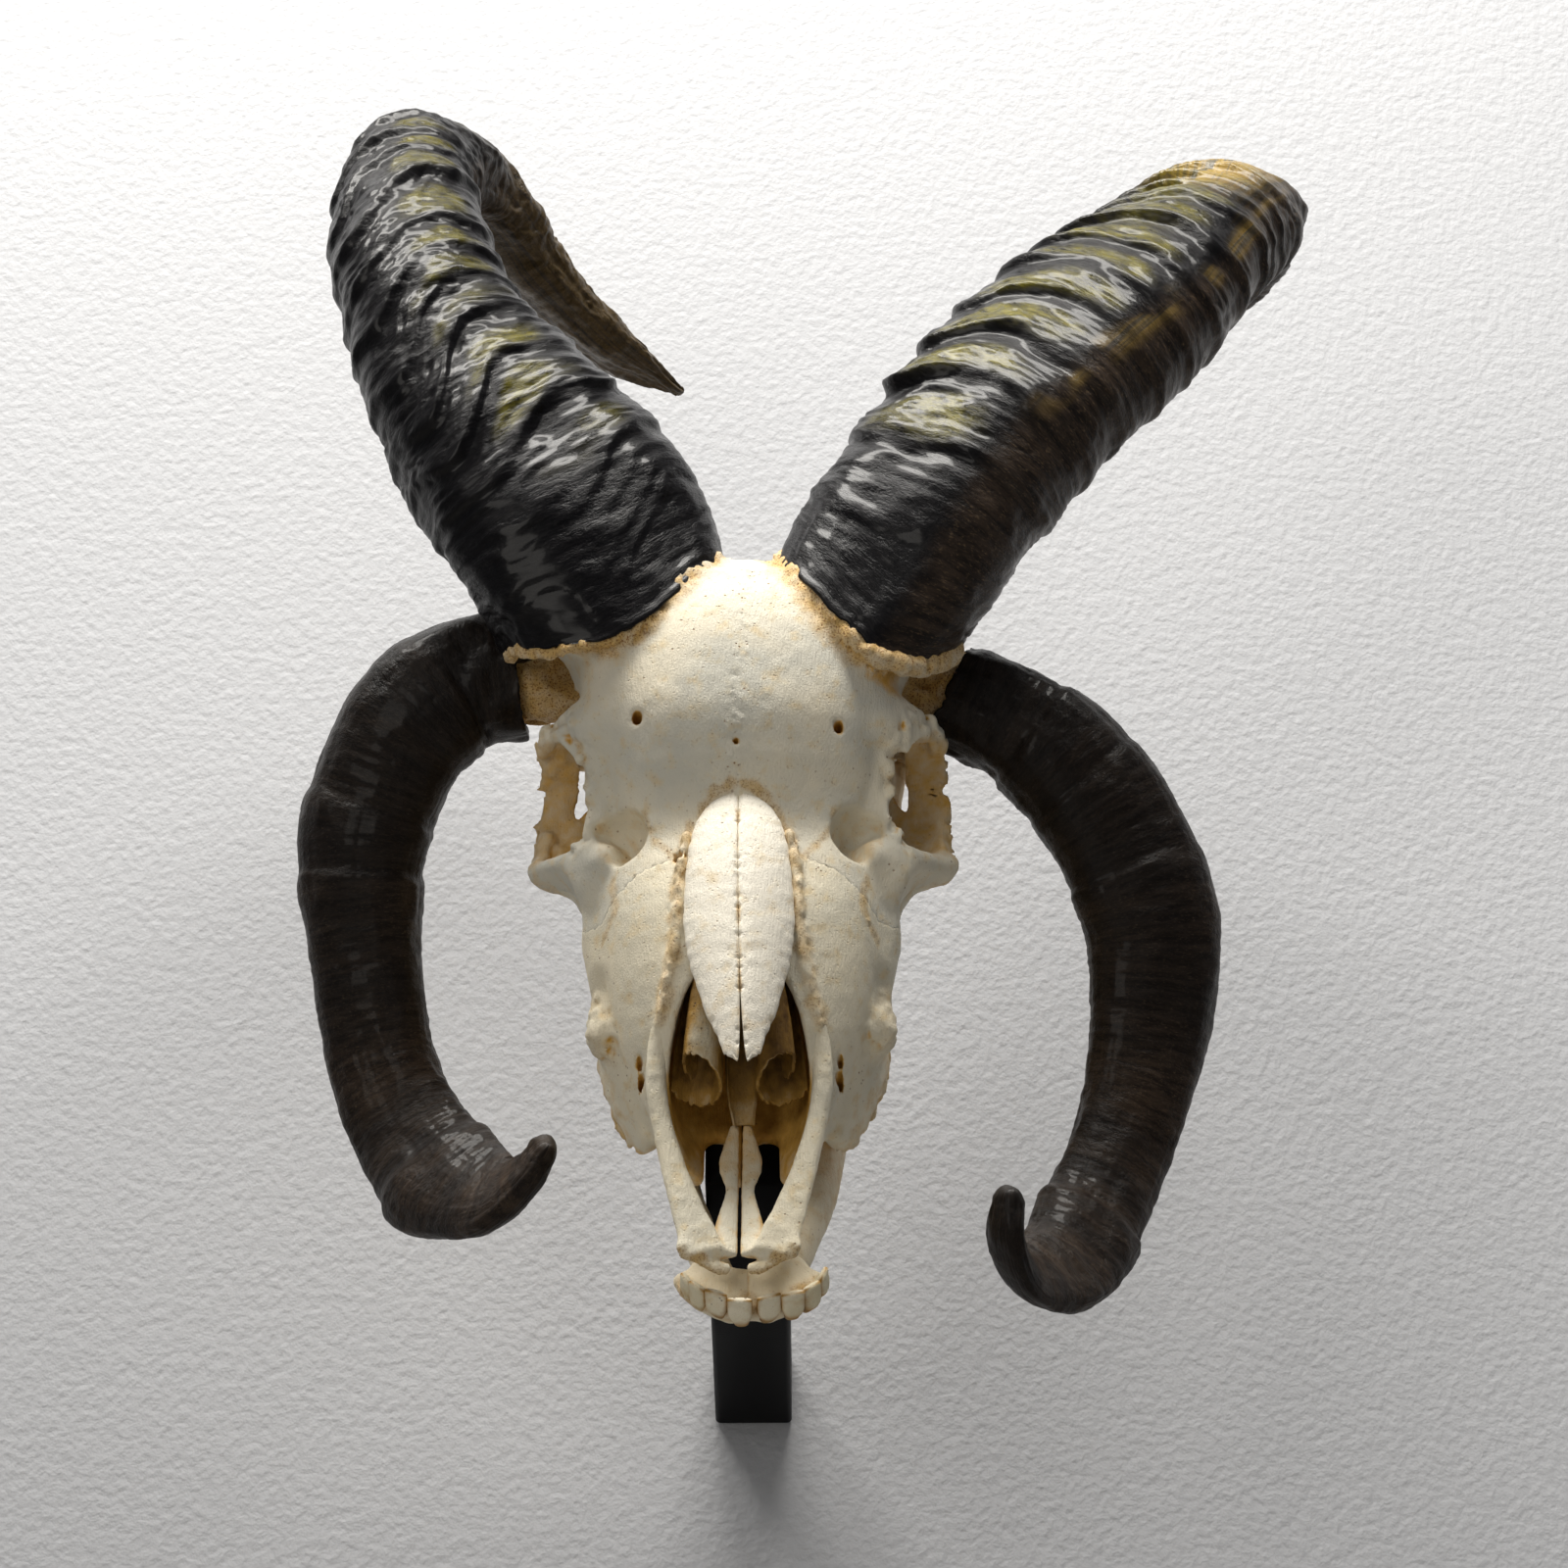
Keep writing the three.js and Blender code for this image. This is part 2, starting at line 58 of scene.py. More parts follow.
def linear(hex_colour):
    """An sRGB hex colour as linear red, green, blue and 1."""
    srgb = np.array([int(hex_colour[i:i + 2], 16) for i in (1, 3, 5)]) / 255
    light = np.where(srgb <= 0.04045, srgb / 12.92, ((srgb + 0.055) / 1.055) ** 2.4)
    return (*light.tolist(), 1.0)


def node(material, kind, inputs=None, **settings):
    """Adds a node: settings are its properties, and each input takes a value or another socket."""
    tree = material.node_tree
    made = tree.nodes.new("ShaderNode" + kind)
    for name, value in settings.items():
        setattr(made, name, value)
    for key, value in (inputs or {}).items():
        if isinstance(value, bpy.types.NodeSocket):
            tree.links.new(value, made.inputs[key])
        else:
            made.inputs[key].default_value = value
    return made


def new_material(name, **surface):
    """A material whose Principled shader has these plain values, such as Roughness."""
    material = bpy.data.materials.new(name)
    material.use_nodes = True
    for socket, value in surface.items():
        material.node_tree.nodes["Principled BSDF"].inputs[socket.replace("_", " ")].default_value = value
    return material


def surface_links(material, **sockets):
    """Links sockets to the material's Principled shader."""
    shader = material.node_tree.nodes["Principled BSDF"]
    for name, value in sockets.items():
        material.node_tree.links.new(value, shader.inputs[name.replace("_", " ")])


def stage_sheet(name, corners, material):
    """A flat sheet between four corners, which isn't part of the object."""
    mesh = bpy.data.meshes.new(name)
    mesh.from_pydata(corners, [], [(0, 1, 2, 3)])
    mesh.materials.append(material)
    sheet = bpy.data.objects.new(name, mesh)
    bpy.context.collection.objects.link(sheet)
    return sheet


# Emulsion paint rolled on plaster: matt, with the roller's orange peel about 3 mm apart. From
# behind it is clear, so that the object's back shows.
wall_paint = new_material("wall_emulsion_paint", Roughness=0.75)
wall_place = node(wall_paint, "TexCoord").outputs["Object"]
wall_peel = node(wall_paint, "TexNoise", {"Vector": wall_place, "Scale": 330.0, "Detail": 2.5})
wall_bump = node(wall_paint, "Bump", {
    "Height": wall_peel.outputs["Fac"], "Strength": 0.45, "Distance": 0.0014})
surface_links(wall_paint, Normal=wall_bump.outputs["Normal"])
wall_paint.node_tree.nodes["Principled BSDF"].inputs["Base Color"].default_value = linear("#b5b6b9")
wall_shader = wall_paint.node_tree.nodes["Principled BSDF"].outputs["BSDF"]
wall_clear = node(wall_paint, "BsdfTransparent").outputs["BSDF"]
wall_side = node(wall_paint, "NewGeometry").outputs["Backfacing"]
wall_both = node(wall_paint, "MixShader", {0: wall_side, 1: wall_shader, 2: wall_clear})
wall_paint.node_tree.links.new(
    wall_both.outputs["Shader"], wall_paint.node_tree.nodes["Material Output"].inputs["Surface"])

FLOOR = -1.7  # metres below the bracket
WALL_BACK = 0.001
WALL_SIDE = 2.2
WALL_TOP = 1.9
stage_sheet("wall", [(-WALL_SIDE, WALL_BACK, FLOOR), (WALL_SIDE, WALL_BACK, FLOOR),
                     (WALL_SIDE, WALL_BACK, WALL_TOP), (-WALL_SIDE, WALL_BACK, WALL_TOP)], wall_paint)
floor_paint = new_material("floor_paint", Roughness=0.8)
floor_paint.node_tree.nodes["Principled BSDF"].inputs["Base Color"].default_value = linear("#cfccc6")
stage_sheet("floor", [(-4, -5, FLOOR), (4, -5, FLOOR), (4, 4, FLOOR), (-4, 4, FLOOR)], floor_paint)


def soft_lamp(name, place, aim, width, height, watts, colour):
    """A rectangular lamp that faces the point aim."""
    lamp_data = bpy.data.lights.new(name, "AREA")
    lamp_data.shape = "RECTANGLE"
    lamp_data.size = width
    lamp_data.size_y = height
    lamp_data.energy = watts
    lamp_data.color = linear(colour)[:3]
    lamp = bpy.data.objects.new(name, lamp_data)
    lamp.location = place
    towards = np.array(aim) - np.array(place)
    flat = math.hypot(towards[0], towards[1])
    lamp.rotation_euler = (math.pi / 2 + math.atan2(towards[2], flat), 0,
                           math.atan2(towards[1], towards[0]) - math.pi / 2)
    bpy.context.collection.objects.link(lamp)


soft_lamp("lamp_key", (-0.15, -0.68, 1.36), (0, -0.12, 0.1), 1.5, 0.35, 46, "#fffcf6")
soft_lamp("lamp_front", (-0.9, -1.9, 0.0), (0, -0.15, 0.0), 0.8, 0.8, 6, "#fffaf2")

world = bpy.data.worlds.new("studio")
world.use_nodes = True
world.node_tree.nodes["Background"].inputs["Color"].default_value = linear("#e9edf5")
world.node_tree.nodes["Background"].inputs["Strength"].default_value = 0.16
bpy.context.scene.world = world

# ---------------------------------------------------------------- bracket
# One length of square steel bar, sawn off and painted matt black. It is fixed to the wall and
# runs in under the palate, where it carries the skull.

BAR_SIDE = 0.025
BAR_REACH = 0.174
BAR_ARRIS = 0.0016  # radius of the bar's long edges
BAR_CHAMFER = 0.0008  # filed edge of the sawn end


def add_mesh(name, points, quads, triangles, material, attributes=None):
    """An object from points in metres, with smooth faces and any per-point attributes."""
    mesh = bpy.data.meshes.new(name)
    corners = np.concatenate([np.ravel(quads), np.ravel(triangles)]).astype(np.int32)
    sizes = np.concatenate([np.full(len(quads), 4), np.full(len(triangles), 3)])
    starts = np.concatenate([[0], np.cumsum(sizes)[:-1]]).astype(np.int32)
    mesh.vertices.add(len(points))
    mesh.vertices.foreach_set("co", np.ascontiguousarray(points, dtype=np.float32).ravel())
    mesh.loops.add(len(corners))
    mesh.loops.foreach_set("vertex_index", corners)
    mesh.polygons.add(len(sizes))
    mesh.polygons.foreach_set("loop_start", starts)
    mesh.update(calc_edges=True)
    mesh.shade_smooth()
    for key, values in (attributes or {}).items():
        kind, field = ("FLOAT_VECTOR", "vector") if np.ndim(values) == 2 else ("FLOAT", "value")
        layer = mesh.attributes.new(key, kind, "POINT")
        layer.data.foreach_set(field, np.ascontiguousarray(values, dtype=np.float32).ravel())
    mesh.materials.append(material)
    piece = bpy.data.objects.new(name, mesh)
    bpy.context.collection.objects.link(piece)
    return piece


def grid_faces(rows, columns):
    """Quads of a grid that closes round its columns, and the fans to a pole at each end.

    The grid's points come first, row by row, then the pole before the first row and the one
    after the last.
    """
    i, j = np.meshgrid(np.arange(rows - 1), np.arange(columns), indexing="ij")
    a = i * columns + j
    b = i * columns + (j + 1) % columns
    quads = np.stack([a, b, b + columns, a + columns], axis=-1).reshape(-1, 4)
    here = np.arange(columns)
    ahead = (here + 1) % columns
    first = np.stack([ahead, here, np.full(columns, rows * columns)], axis=-1)
    last = np.stack([here, ahead, np.full(columns, rows * columns + 1)], axis=-1)
    last[:, :2] += (rows - 1) * columns
    return quads, np.concatenate([first, last])


def bar_section(half, arris, corner_points):
    """A square with quarter-round corners, as points anticlockwise from the lower right."""
    turn = np.radians(np.arange(4) * 90)[:, None] + np.linspace(-np.pi / 2, 0, corner_points)
    middle = np.radians(np.arange(4) * 90)[:, None] - np.pi / 4
    away = (half - arris) * math.sqrt(2)
    x = away * np.cos(middle) + arris * np.cos(turn)
    z = away * np.sin(middle) + arris * np.sin(turn)
    return np.stack([x.ravel(), z.ravel()], axis=-1)


# Steel under sprayed satin-matt black paint: deep black, with a faint grey bloom and a grain
# of fine dust nibs.
black_paint = new_material("black_sprayed_steel", Roughness=0.5, IOR=1.5, Specular_IOR_Level=0.08)
bar_place = node(black_paint, "TexCoord").outputs["Object"]
bar_cloud = node(black_paint, "TexNoise", {"Vector": bar_place, "Scale": 60.0, "Detail": 4.0})
bar_colour = node(black_paint, "MixRGB", {
    "Fac": bar_cloud.outputs["Fac"], "Color1": linear("#030304"), "Color2": linear("#09090b")})
bar_nibs = node(black_paint, "TexNoise", {"Vector": bar_place, "Scale": 1500.0, "Detail": 2.0})
bar_bump = node(black_paint, "Bump", {
    "Height": bar_nibs.outputs["Fac"], "Strength": 0.25, "Distance": 0.0002})
surface_links(black_paint, Base_Color=bar_colour.outputs["Color"], Normal=bar_bump.outputs["Normal"])

bar_rows = np.array([  # distance from the wall, and how far the section is drawn in
    (0, 0), (BAR_REACH * 0.5, 0), (BAR_REACH - BAR_CHAMFER, 0), (BAR_REACH, BAR_CHAMFER),
])
bar_outline = bar_section(BAR_SIDE / 2, BAR_ARRIS, 6)
bar_scale = 1 - bar_rows[:, 1] / (BAR_SIDE / 2)
bar_points = np.stack([
    bar_scale[:, None] * bar_outline[:, 0],
    np.repeat(-bar_rows[:, 0], len(bar_outline)).reshape(len(bar_rows), -1),
    bar_scale[:, None] * bar_outline[:, 1],
], axis=-1).reshape(-1, 3)
bar_points = np.vstack([bar_points, (0, 0, 0), (0, -BAR_REACH, 0)])
bar = add_mesh("bracket_painted_bar", bar_points, *grid_faces(len(bar_rows), len(bar_outline)), black_paint)
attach(bar, "root")
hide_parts("bracket_bar")

# ---------------------------------------------------------------- upper horns
# Two tall sheaths of horn, each grown over a bony core and slipped back on it: thick ridges that
# rise in steps towards the tip, fine growth rings between, and a ragged rim at the base. Dark
# keratin, scraped and oiled, so that the paler olive horn under it shows on the worn ridges.

NASION = np.array([-2.0, -222.0, 95.0])  # root of the nose in the object's frame, millimetres
FACE_LEAN = math.radians(5.5)
FACE_TURN = math.radians(-1)


def hung(points):
    """Points in the skull's own millimetres, leant and turned as the skull hangs, in metres."""
    x, y, z = np.moveaxis(points, -1, 0)
    c, s = math.cos(FACE_LEAN), math.sin(FACE_LEAN)
    y, z = y * c - z * s, y * s + z * c
    c, s = math.cos(FACE_TURN), math.sin(FACE_TURN)
    x, y = x * c - y * s, x * s + y * c
    return (np.stack([x, y, z], axis=-1) + NASION) / 1000


def ease(low, high, value):
    """0 below low, 1 above high, and a smooth S between."""
    f = np.clip((value - low) / (high - low), 0, 1)
    return f * f * (3 - 2 * f)


def hump(middle, reach, value):
    """1 at the middle, falling smoothly to 0 at that reach on both sides."""
    return 1 - ease(0, reach, np.abs(value - middle))


def grain(points, size, seed):
    """Smooth noise from -1 to 1: random values on a lattice of that spacing, blended with eased weights."""
    q = np.asarray(points) / size
    low = np.floor(q).astype(np.int64)
    f = q - low
    f = f * f * (3 - 2 * f)
    total = np.zeros(q.shape[:-1])
    for corner in np.ndindex(2, 2, 2):
        at = low + corner
        code = (at[..., 0] * 73856093) ^ (at[..., 1] * 19349663) ^ (at[..., 2] * 83492791) ^ (seed * 40503)
        code = ((code ^ (code >> 13)) * 1274126177) & 0x7FFFFFFF
        value = ((code ^ (code >> 16)) & 0xFFFF) / 32767.5 - 1
        total += value * np.prod(np.where(corner, f, 1 - f), axis=-1)
    return total


def curve(knots, t):
    """The smooth curve through the rows of knots, at t from 0 to 1.

    Between two rows it is a cubic whose slope at each row is half the step between that row's
    neighbours.
    """
    spans = len(knots) - 1
    rows = np.vstack([2 * knots[0] - knots[1], knots, 2 * knots[-1] - knots[-2]])
    i = np.minimum((t * spans).astype(int), spans - 1)
    f = (t * spans - i)[:, None]
    before, start, end, after = (rows[i + k] for k in range(4))
    leave, arrive = (end - before) / 2, (after - start) / 2
    return start + f * leave + f**2 * (3 * (end - start) - 2 * leave - arrive) + f**3 * (
        2 * (start - end) + leave + arrive)


def spine_frames(knots, front, step):
    """Stations every step along a spine: distance, centre, across, through, tangent and half sizes.

    Through starts towards the front and keeps square to the tangent, turning as little as it can.
    """
    knots = np.array(knots, dtype=float)
    fine = np.linspace(0, 1, 1500)
    track = curve(knots, fine)[:, :3]
    run = np.concatenate([[0], np.cumsum(np.linalg.norm(np.diff(track, axis=0), axis=1))])
    along = np.linspace(0, run[-1], max(3, round(run[-1] / step)))
    rows = curve(knots, np.interp(along, run, fine))
    tangent = np.gradient(rows[:, :3], along, axis=0)
    tangent /= np.linalg.norm(tangent, axis=1, keepdims=True)
    through = np.empty_like(tangent)
    last = np.array(front, dtype=float)
    for i, way in enumerate(tangent):
        last = last - way * (last @ way)
        last /= np.linalg.norm(last)
        through[i] = last
    return along, rows[:, :3], np.cross(through, tangent), through, tangent, rows[:, 3:]


HORN_SQUARENESS = 2.3  # power of the superellipse: 2 is an ellipse, and more is squarer
UNBENT_RADIUS = 30  # of the cylinder that stands for the unbent horn in its patterns


def horn_section(angle):
    """How far the section reaches at an angle, as a share of its half sizes: (|c|^p + |s|^p)^(-1/p)."""
    p = HORN_SQUARENESS
    return (np.abs(np.cos(angle)) ** p + np.abs(np.sin(angle)) ** p) ** (-1 / p)


def horn_sheath(horn, step, columns, relief):
    """A horn's points, its face grid's rows, and its own coordinates.

    Superellipse rings are carried along the spine. The rows start in the hollow base, come out over
    the rim and run to a rounded tip. relief(along, angle, straight) gives the height to add along
    the outward normal, where straight is the place on the horn as if it were unbent.
    """
    along, centre, across, through, tangent, half = spine_frames(horn["spine"], horn["front"], step)
    angle = np.linspace(0, 2 * np.pi, columns, endpoint=False)
    c, s = np.cos(angle), np.sin(angle)
    reach = horn_section(angle)

    def rings(where, inset, shift):
        """Rings at these distances along the spine, drawn in by inset and slid along by shift."""
        def at(values):
            return np.stack([np.interp(where, along, values[:, k]) for k in range(values.shape[1])], -1)
        size = np.maximum(at(half) - inset[:, None], 0.3)
        slid = at(centre)[:, None] + at(tangent)[:, None] * shift[..., None]
        return (slid + at(across)[:, None] * (size[:, :1] * c * reach)[..., None]
                + at(through)[:, None] * (size[:, 1:] * s * reach)[..., None])

    straight = np.stack(np.broadcast_arrays(UNBENT_RADIUS * c, UNBENT_RADIUS * s, along[:, None]), axis=-1)
    rim = straight[:1] * (1, 1, 0)
    ragged = horn["rag"] * (grain(rim, 7.0, 5) + 0.6 * grain(rim, 2.2, 6))
    apron = np.interp(np.degrees(angle), *np.transpose(horn["rim"]), period=360)
    skin = rings(along, np.zeros(len(along)), ragged * (1 - ease(0, 14, along))[:, None]
                 - apron * (1 - ease(0, 45, along))[:, None])
    normal = np.cross(np.roll(skin, -1, 1) - np.roll(skin, 1, 1), np.gradient(skin, axis=0))
    normal /= np.linalg.norm(normal, axis=-1, keepdims=True)
    height = relief(along[:, None], angle[None, :], straight)
    skin = skin + normal * height[..., None]

    lip = np.array([(9, 4.2), (6, 4.0), (3, 3.8), (1, 3.4), (0.2, 2.6), (0, 1.4), (0, 0.6)])  # along, inset
    cup = rings(lip[:, 0], lip[:, 1], np.repeat(ragged - apron, len(lip), 0))
    cap_turn = np.radians([20, 40, 58, 74])
    end = half[-1].min()
    cap = rings(np.full(len(cap_turn), along[-1]), end * (1 - np.cos(cap_turn)),
                np.repeat(end * np.sin(cap_turn)[:, None], columns, 1))
    cap += (skin[-1] - cap[0]) * (1 - np.sin(cap_turn))[:, None, None] * 0.5
    body = np.concatenate([cup, skin, cap])
    poles = np.stack([cup[0].mean(0), centre[-1] + tangent[-1] * end])
    rows = len(body)
    points = np.vstack([body.reshape(-1, 3), poles])
    own = np.concatenate([np.repeat(straight[:1], len(lip), 0), straight,
                          np.repeat(straight[-1:], len(cap_turn), 0)])
    own = np.vstack([own.reshape(-1, 3), (0, 0, 0), (0, 0, along[-1])])
    return points, rows, own


def stepped_ridges(phase, rise):
    """Ridges that climb steeply over the first part of each turn of phase, then slope gently back."""
    part = phase - np.floor(phase)
    return np.where(part < rise, ease(0, rise, part), (1 - (part - rise) / (1 - rise)) ** 1.25)


def side_of(angle, middle, reach):
    """1 where the angle round the horn is at the middle, falling to 0 at that reach, in degrees."""
    off = (np.degrees(angle) - middle + 180) % 360 - 180
    return 1 - ease(0, reach, np.abs(off))


# Millimetres in the skull's own frame. front is the side that the section's thickness starts
# towards, rag how ragged the rim is, and a row of spine is x, y, z, half width, half thickness.
# crests are the ridges' distances along the horn. They slant round it, stray from even rings,
# and have that height. rim hangs lower in front: degrees round from the inner side, and how far.
HORN_UPPER_LEFT = {
    "front": (-0.35, -1, 0.2), "rag": 1.1,
    "spine": [
        (40, 14, 74, 34, 25), (56, 12, 99, 35.5, 25), (75.5, 12, 129, 36.5, 25), (99, 18, 159, 38, 24),
        (123, 28, 186, 35.5, 23), (144, 42, 214, 29.5, 21), (162, 64, 239, 23, 18), (167, 90, 247, 17, 15),
        (155, 112, 240, 13, 10), (133, 130, 232, 5, 4),
    ],
    "crests": (22, 44, 66, 84, 103, 124, 141, 156, 169, 181, 193, 206, 220, 236, 252, 270),
    "slant": 5, "stray": 8, "height": 3.0,
    "rim": ((0, 0), (30, 1.5), (60, 8.5), (90, 14), (120, 20.5), (135, 21), (165, 15.5), (180, 11), (205, 0)),
}
HORN_UPPER_RIGHT = {
    "front": (0.2, -1, 0.25), "rag": 1.1,
    "spine": [
        (-39, 14, 73, 39, 26), (-53, 10, 102, 41.5, 26), (-72, 10, 130, 39.5, 25), (-91.5, 14, 161, 32, 24),
        (-104, 22, 194, 27, 23), (-110, 36, 227, 23.5, 21), (-108, 58, 259, 20, 18), (-95, 88, 271, 19, 14),
        (-75, 118, 254, 18, 10), (-51, 138, 237, 12, 7), (-26, 152, 226, 2.5, 2),
    ],
    "crests": (18, 34, 52, 70, 86, 103, 122, 139, 157, 176, 196, 216, 236, 256, 280, 310),
    "slant": 16, "stray": 13, "height": 2.2,
    "rim": ((-20, 0), (0, 1.5), (30, 11), (60, 17.5), (75, 17.5), (90, 15), (105, 10), (135, 4.5), (165, 0)),
}


def ridge_phase(horn, along, angle, straight):
    """A place among the ridges, which slant and stray: a whole number on each crest."""
    stray = horn["stray"] * grain(straight, (26, 26, 36), 11) + 2.0 * grain(straight, (10, 10, 13), 12)
    place = along + horn["slant"] * np.cos(angle) + stray
    return np.interp(place, horn["crests"], np.arange(len(horn["crests"])))


def upper_relief(horn, front_window):
    """The upper horns' height: stepped ridges that slant and wander, folds, rings and cracks."""
    def relief(along, angle, straight):
        phase = ridge_phase(horn, along, angle, straight)
        power = ease(6, 55, along) * (1 - 0.55 * ease(170, 290, along))
        strength = 0.45 + 0.55 * side_of(angle, *front_window)
        uneven = 1 + 0.7 * grain(straight, (17, 17, 15), 13)
        big = horn["height"] * power * strength * uneven * (stepped_ridges(phase, 0.2) - 0.45)
        small = 0.5 * stepped_ridges(phase * 3 + 0.7 * grain(straight, (10, 10, 8), 14), 0.3) * strength
        folds = 1.6 * grain(straight, (15, 15, 18), 15) + 0.4 * grain(straight, (6, 6, 4), 16)
        rings = 0.28 * grain(straight, (14, 14, 1.7), 17)
        fine = 0.14 * grain(straight, (5, 5, 0.9), 18)
        crack = 1 - ease(0.0, 0.11, np.abs(grain(straight, (26, 26, 4.2), 19)))
        crack *= ease(0.1, 0.5, grain(straight, (8, 8, 8), 20))
        return big + small + folds + rings + fine - 0.55 * crack
    return relief


def horn_piece(name, horn, relief, shade, material, node_name, step, columns):
    """Builds a sheath and hangs it. shade(along, angle, own) gives three masks for its material."""
    points, rows, own = horn_sheath(horn, step, columns, relief)
    along, angle = own[:, 2], np.arctan2(own[:, 1], own[:, 0])
    quads, fans = grid_faces(rows, columns)
    piece = add_mesh(name, hung(points), quads, fans, material, {
        "unbent": own, "shade": shade(along, angle, own)})
    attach(piece, "root")
    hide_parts(node_name)


def horn_material(name, dark, worn, tip, side, gloss, coat):
    """Keratin, grown in rings and worn by hand and weather.

    Its colours go by three masks that the mesh carries: worn olive horn, the paler tip, and the
    brown flank. Rings are 1.5 mm apart and fibres 0.4 mm wide, drawn a little coarse to show.
    """
    horn = new_material(name, Roughness=0.3, IOR=1.54, Specular_IOR_Level=0.1, Coat_Weight=coat,
                        Coat_Roughness=0.13, Coat_IOR=1.5)
    unbent = node(horn, "Attribute", attribute_name="unbent").outputs["Vector"]
    shade = node(horn, "SeparateXYZ", {0: node(horn, "Attribute", attribute_name="shade").outputs["Vector"]})

    def noise(stretch, detail=3.0, rough=0.6):
        place = node(horn, "Mapping", {"Vector": unbent, "Scale": stretch})
        return node(horn, "TexNoise", {"Vector": place.outputs[0], "Scale": 1.0, "Detail": detail,
                                       "Roughness": rough}).outputs["Fac"]

    def mask(value, low, high):
        return node(horn, "MapRange", {"Value": value, "From Min": low, "From Max": high}).outputs["Result"]

    def mix(fac, one, other):
        return node(horn, "MixRGB", {"Fac": fac, "Color1": one, "Color2": other}).outputs["Color"]

    def sum_of(one, other):
        return node(horn, "Math", {0: one, 1: other}, operation="ADD").outputs[0]

    def product_of(one, other):
        return node(horn, "Math", {0: one, 1: other}, operation="MULTIPLY").outputs[0]

    ring = noise((0.06, 0.06, 0.65), 4.0)
    fibre = noise((0.5, 0.5, 2.2), 3.0, 0.7)
    blotch = noise((0.05, 0.05, 0.05), 4.0)
    base = mix(mask(ring, 0.35, 0.7), linear(dark[0]), linear(dark[1]))
    base = mix(mask(fibre, 0.52, 0.8), base, linear(dark[2]))
    flank = mix(mask(ring, 0.38, 0.62), linear(side[0]), linear(side[1]))
    flank = mix(mask(fibre, 0.55, 0.75), flank, linear(side[2]))
    base = mix(shade.outputs["Z"], base, flank)
    frayed = product_of(shade.outputs["X"], mask(noise((0.22, 0.22, 0.5), 4.0), 0.3, 0.62))
    olive = mix(mask(blotch, 0.3, 0.7), linear(worn[0]), linear(worn[1]))
    olive = mix(mask(fibre, 0.5, 0.8), olive, linear(worn[2]))
    base = mix(frayed, base, olive)
    streak = noise((0.35, 0.35, 0.012), 3.0)
    ochre = mix(mask(streak, 0.42, 0.6), linear(tip[0]), linear(tip[1]))
    tan = product_of(shade.outputs["Y"], mask(streak, 0.25, 0.5))
    base = mix(tan, base, ochre)

    rough = node(horn, "MapRange", {"Value": shade.outputs["X"], "To Min": gloss[0], "To Max": gloss[1]})
    rough = sum_of(rough.outputs[0], mask(fibre, 0.3, 2.5))
    crease = mask(noise((0.11, 0.11, 0.3), 5.0, 0.65), 0.4, 0.56)
    heights = sum_of(sum_of(ring, fibre), crease)
    bump = node(horn, "Bump", {"Height": heights, "Strength": 0.34, "Distance": 0.0007})
    surface_links(horn, Base_Color=base, Roughness=rough, Normal=bump.outputs["Normal"])
    return horn


dark_horn = horn_material(
    "dark_ram_horn_keratin",
    dark=("#060507", "#0d0b0d", "#1d191a"), worn=("#504a10", "#736b20", "#23200e"),
    tip=("#b39244", "#57503e"), side=("#1c1612", "#3a2f26", "#66543e"), gloss=(0.26, 0.1), coat=0.2)


def ridge_flats(horn, along, angle, own, middle):
    """1 on the flat of each ridge, middle of the way from its crest to the next, and 0 between."""
    phase = ridge_phase(horn, along, angle, own)
    return hump(middle, 0.46, phase - np.floor(phase))


def left_shade(along, angle, own):
    """Olive on the front's ridges and far up, a tan tip and inner edge, and a brown flank."""
    flat = ridge_flats(HORN_UPPER_LEFT, along, angle, own, 0.45)
    turned = np.degrees(angle) + 10 * grain(own * (0, 0, 1), 40, 31)
    front = side_of(angle, 84, 50) * (0.4 + 0.6 * ease(-0.2, 0.3, grain(own, (14, 14, 12), 32)))
    olive = ease(0.03, 0.34, front * flat) * ease(36, 60, along)
    olive = np.maximum(olive, side_of(np.radians(turned), 72, 40) * ease(140, 185, along))
    tan = ease(178, 208, along) * side_of(np.radians(turned), 88, 62)
    edge = side_of(np.radians(turned), 140, 14) * ease(60, 90, along)
    tan = np.maximum(tan, 0.45 * edge * ease(-0.1, 0.5, grain(own, (8, 8, 8), 33)))
    flank = ease(128, 146, turned % 360) * (1 - ease(265, 300, np.degrees(angle) % 360))
    return np.stack([olive, tan, flank], axis=-1)


def right_shade(along, angle, own):
    """Olive on the front's ridges, a trace of tan at the tip, and a brown flank and far end."""
    flat = ridge_flats(HORN_UPPER_RIGHT, along, angle, own, 0.5)
    front = side_of(angle, 98, 46) * (0.3 + 0.7 * ease(-0.25, 0.35, grain(own, (13, 13, 12), 34)))
    olive = 0.8 * ease(0.06, 0.5, front * flat) * ease(34, 60, along) * (1 - ease(200, 260, along))
    tan = 0.16 * ease(215, 290, along) + 0.5 * side_of(angle, 70, 16) * ease(250, 290, along)
    turned = np.degrees(angle) % 360
    flank = np.maximum(ease(150, 175, turned) * (1 - ease(250, 290, turned)), ease(225, 275, along))
    return np.stack([olive, tan, flank], axis=-1)


UPPER_STEP, UPPER_COLUMNS = 0.85, 220  # millimetres between rings, and points round each
horn_piece("horn_upper_right_sheath", HORN_UPPER_RIGHT, upper_relief(HORN_UPPER_RIGHT, (85, 120)),
           right_shade, dark_horn, "horn_upper_right", UPPER_STEP, UPPER_COLUMNS)
horn_piece("horn_upper_left_sheath", HORN_UPPER_LEFT, upper_relief(HORN_UPPER_LEFT, (36, 105)),
           left_shade, dark_horn, "horn_upper_left", UPPER_STEP, UPPER_COLUMNS)

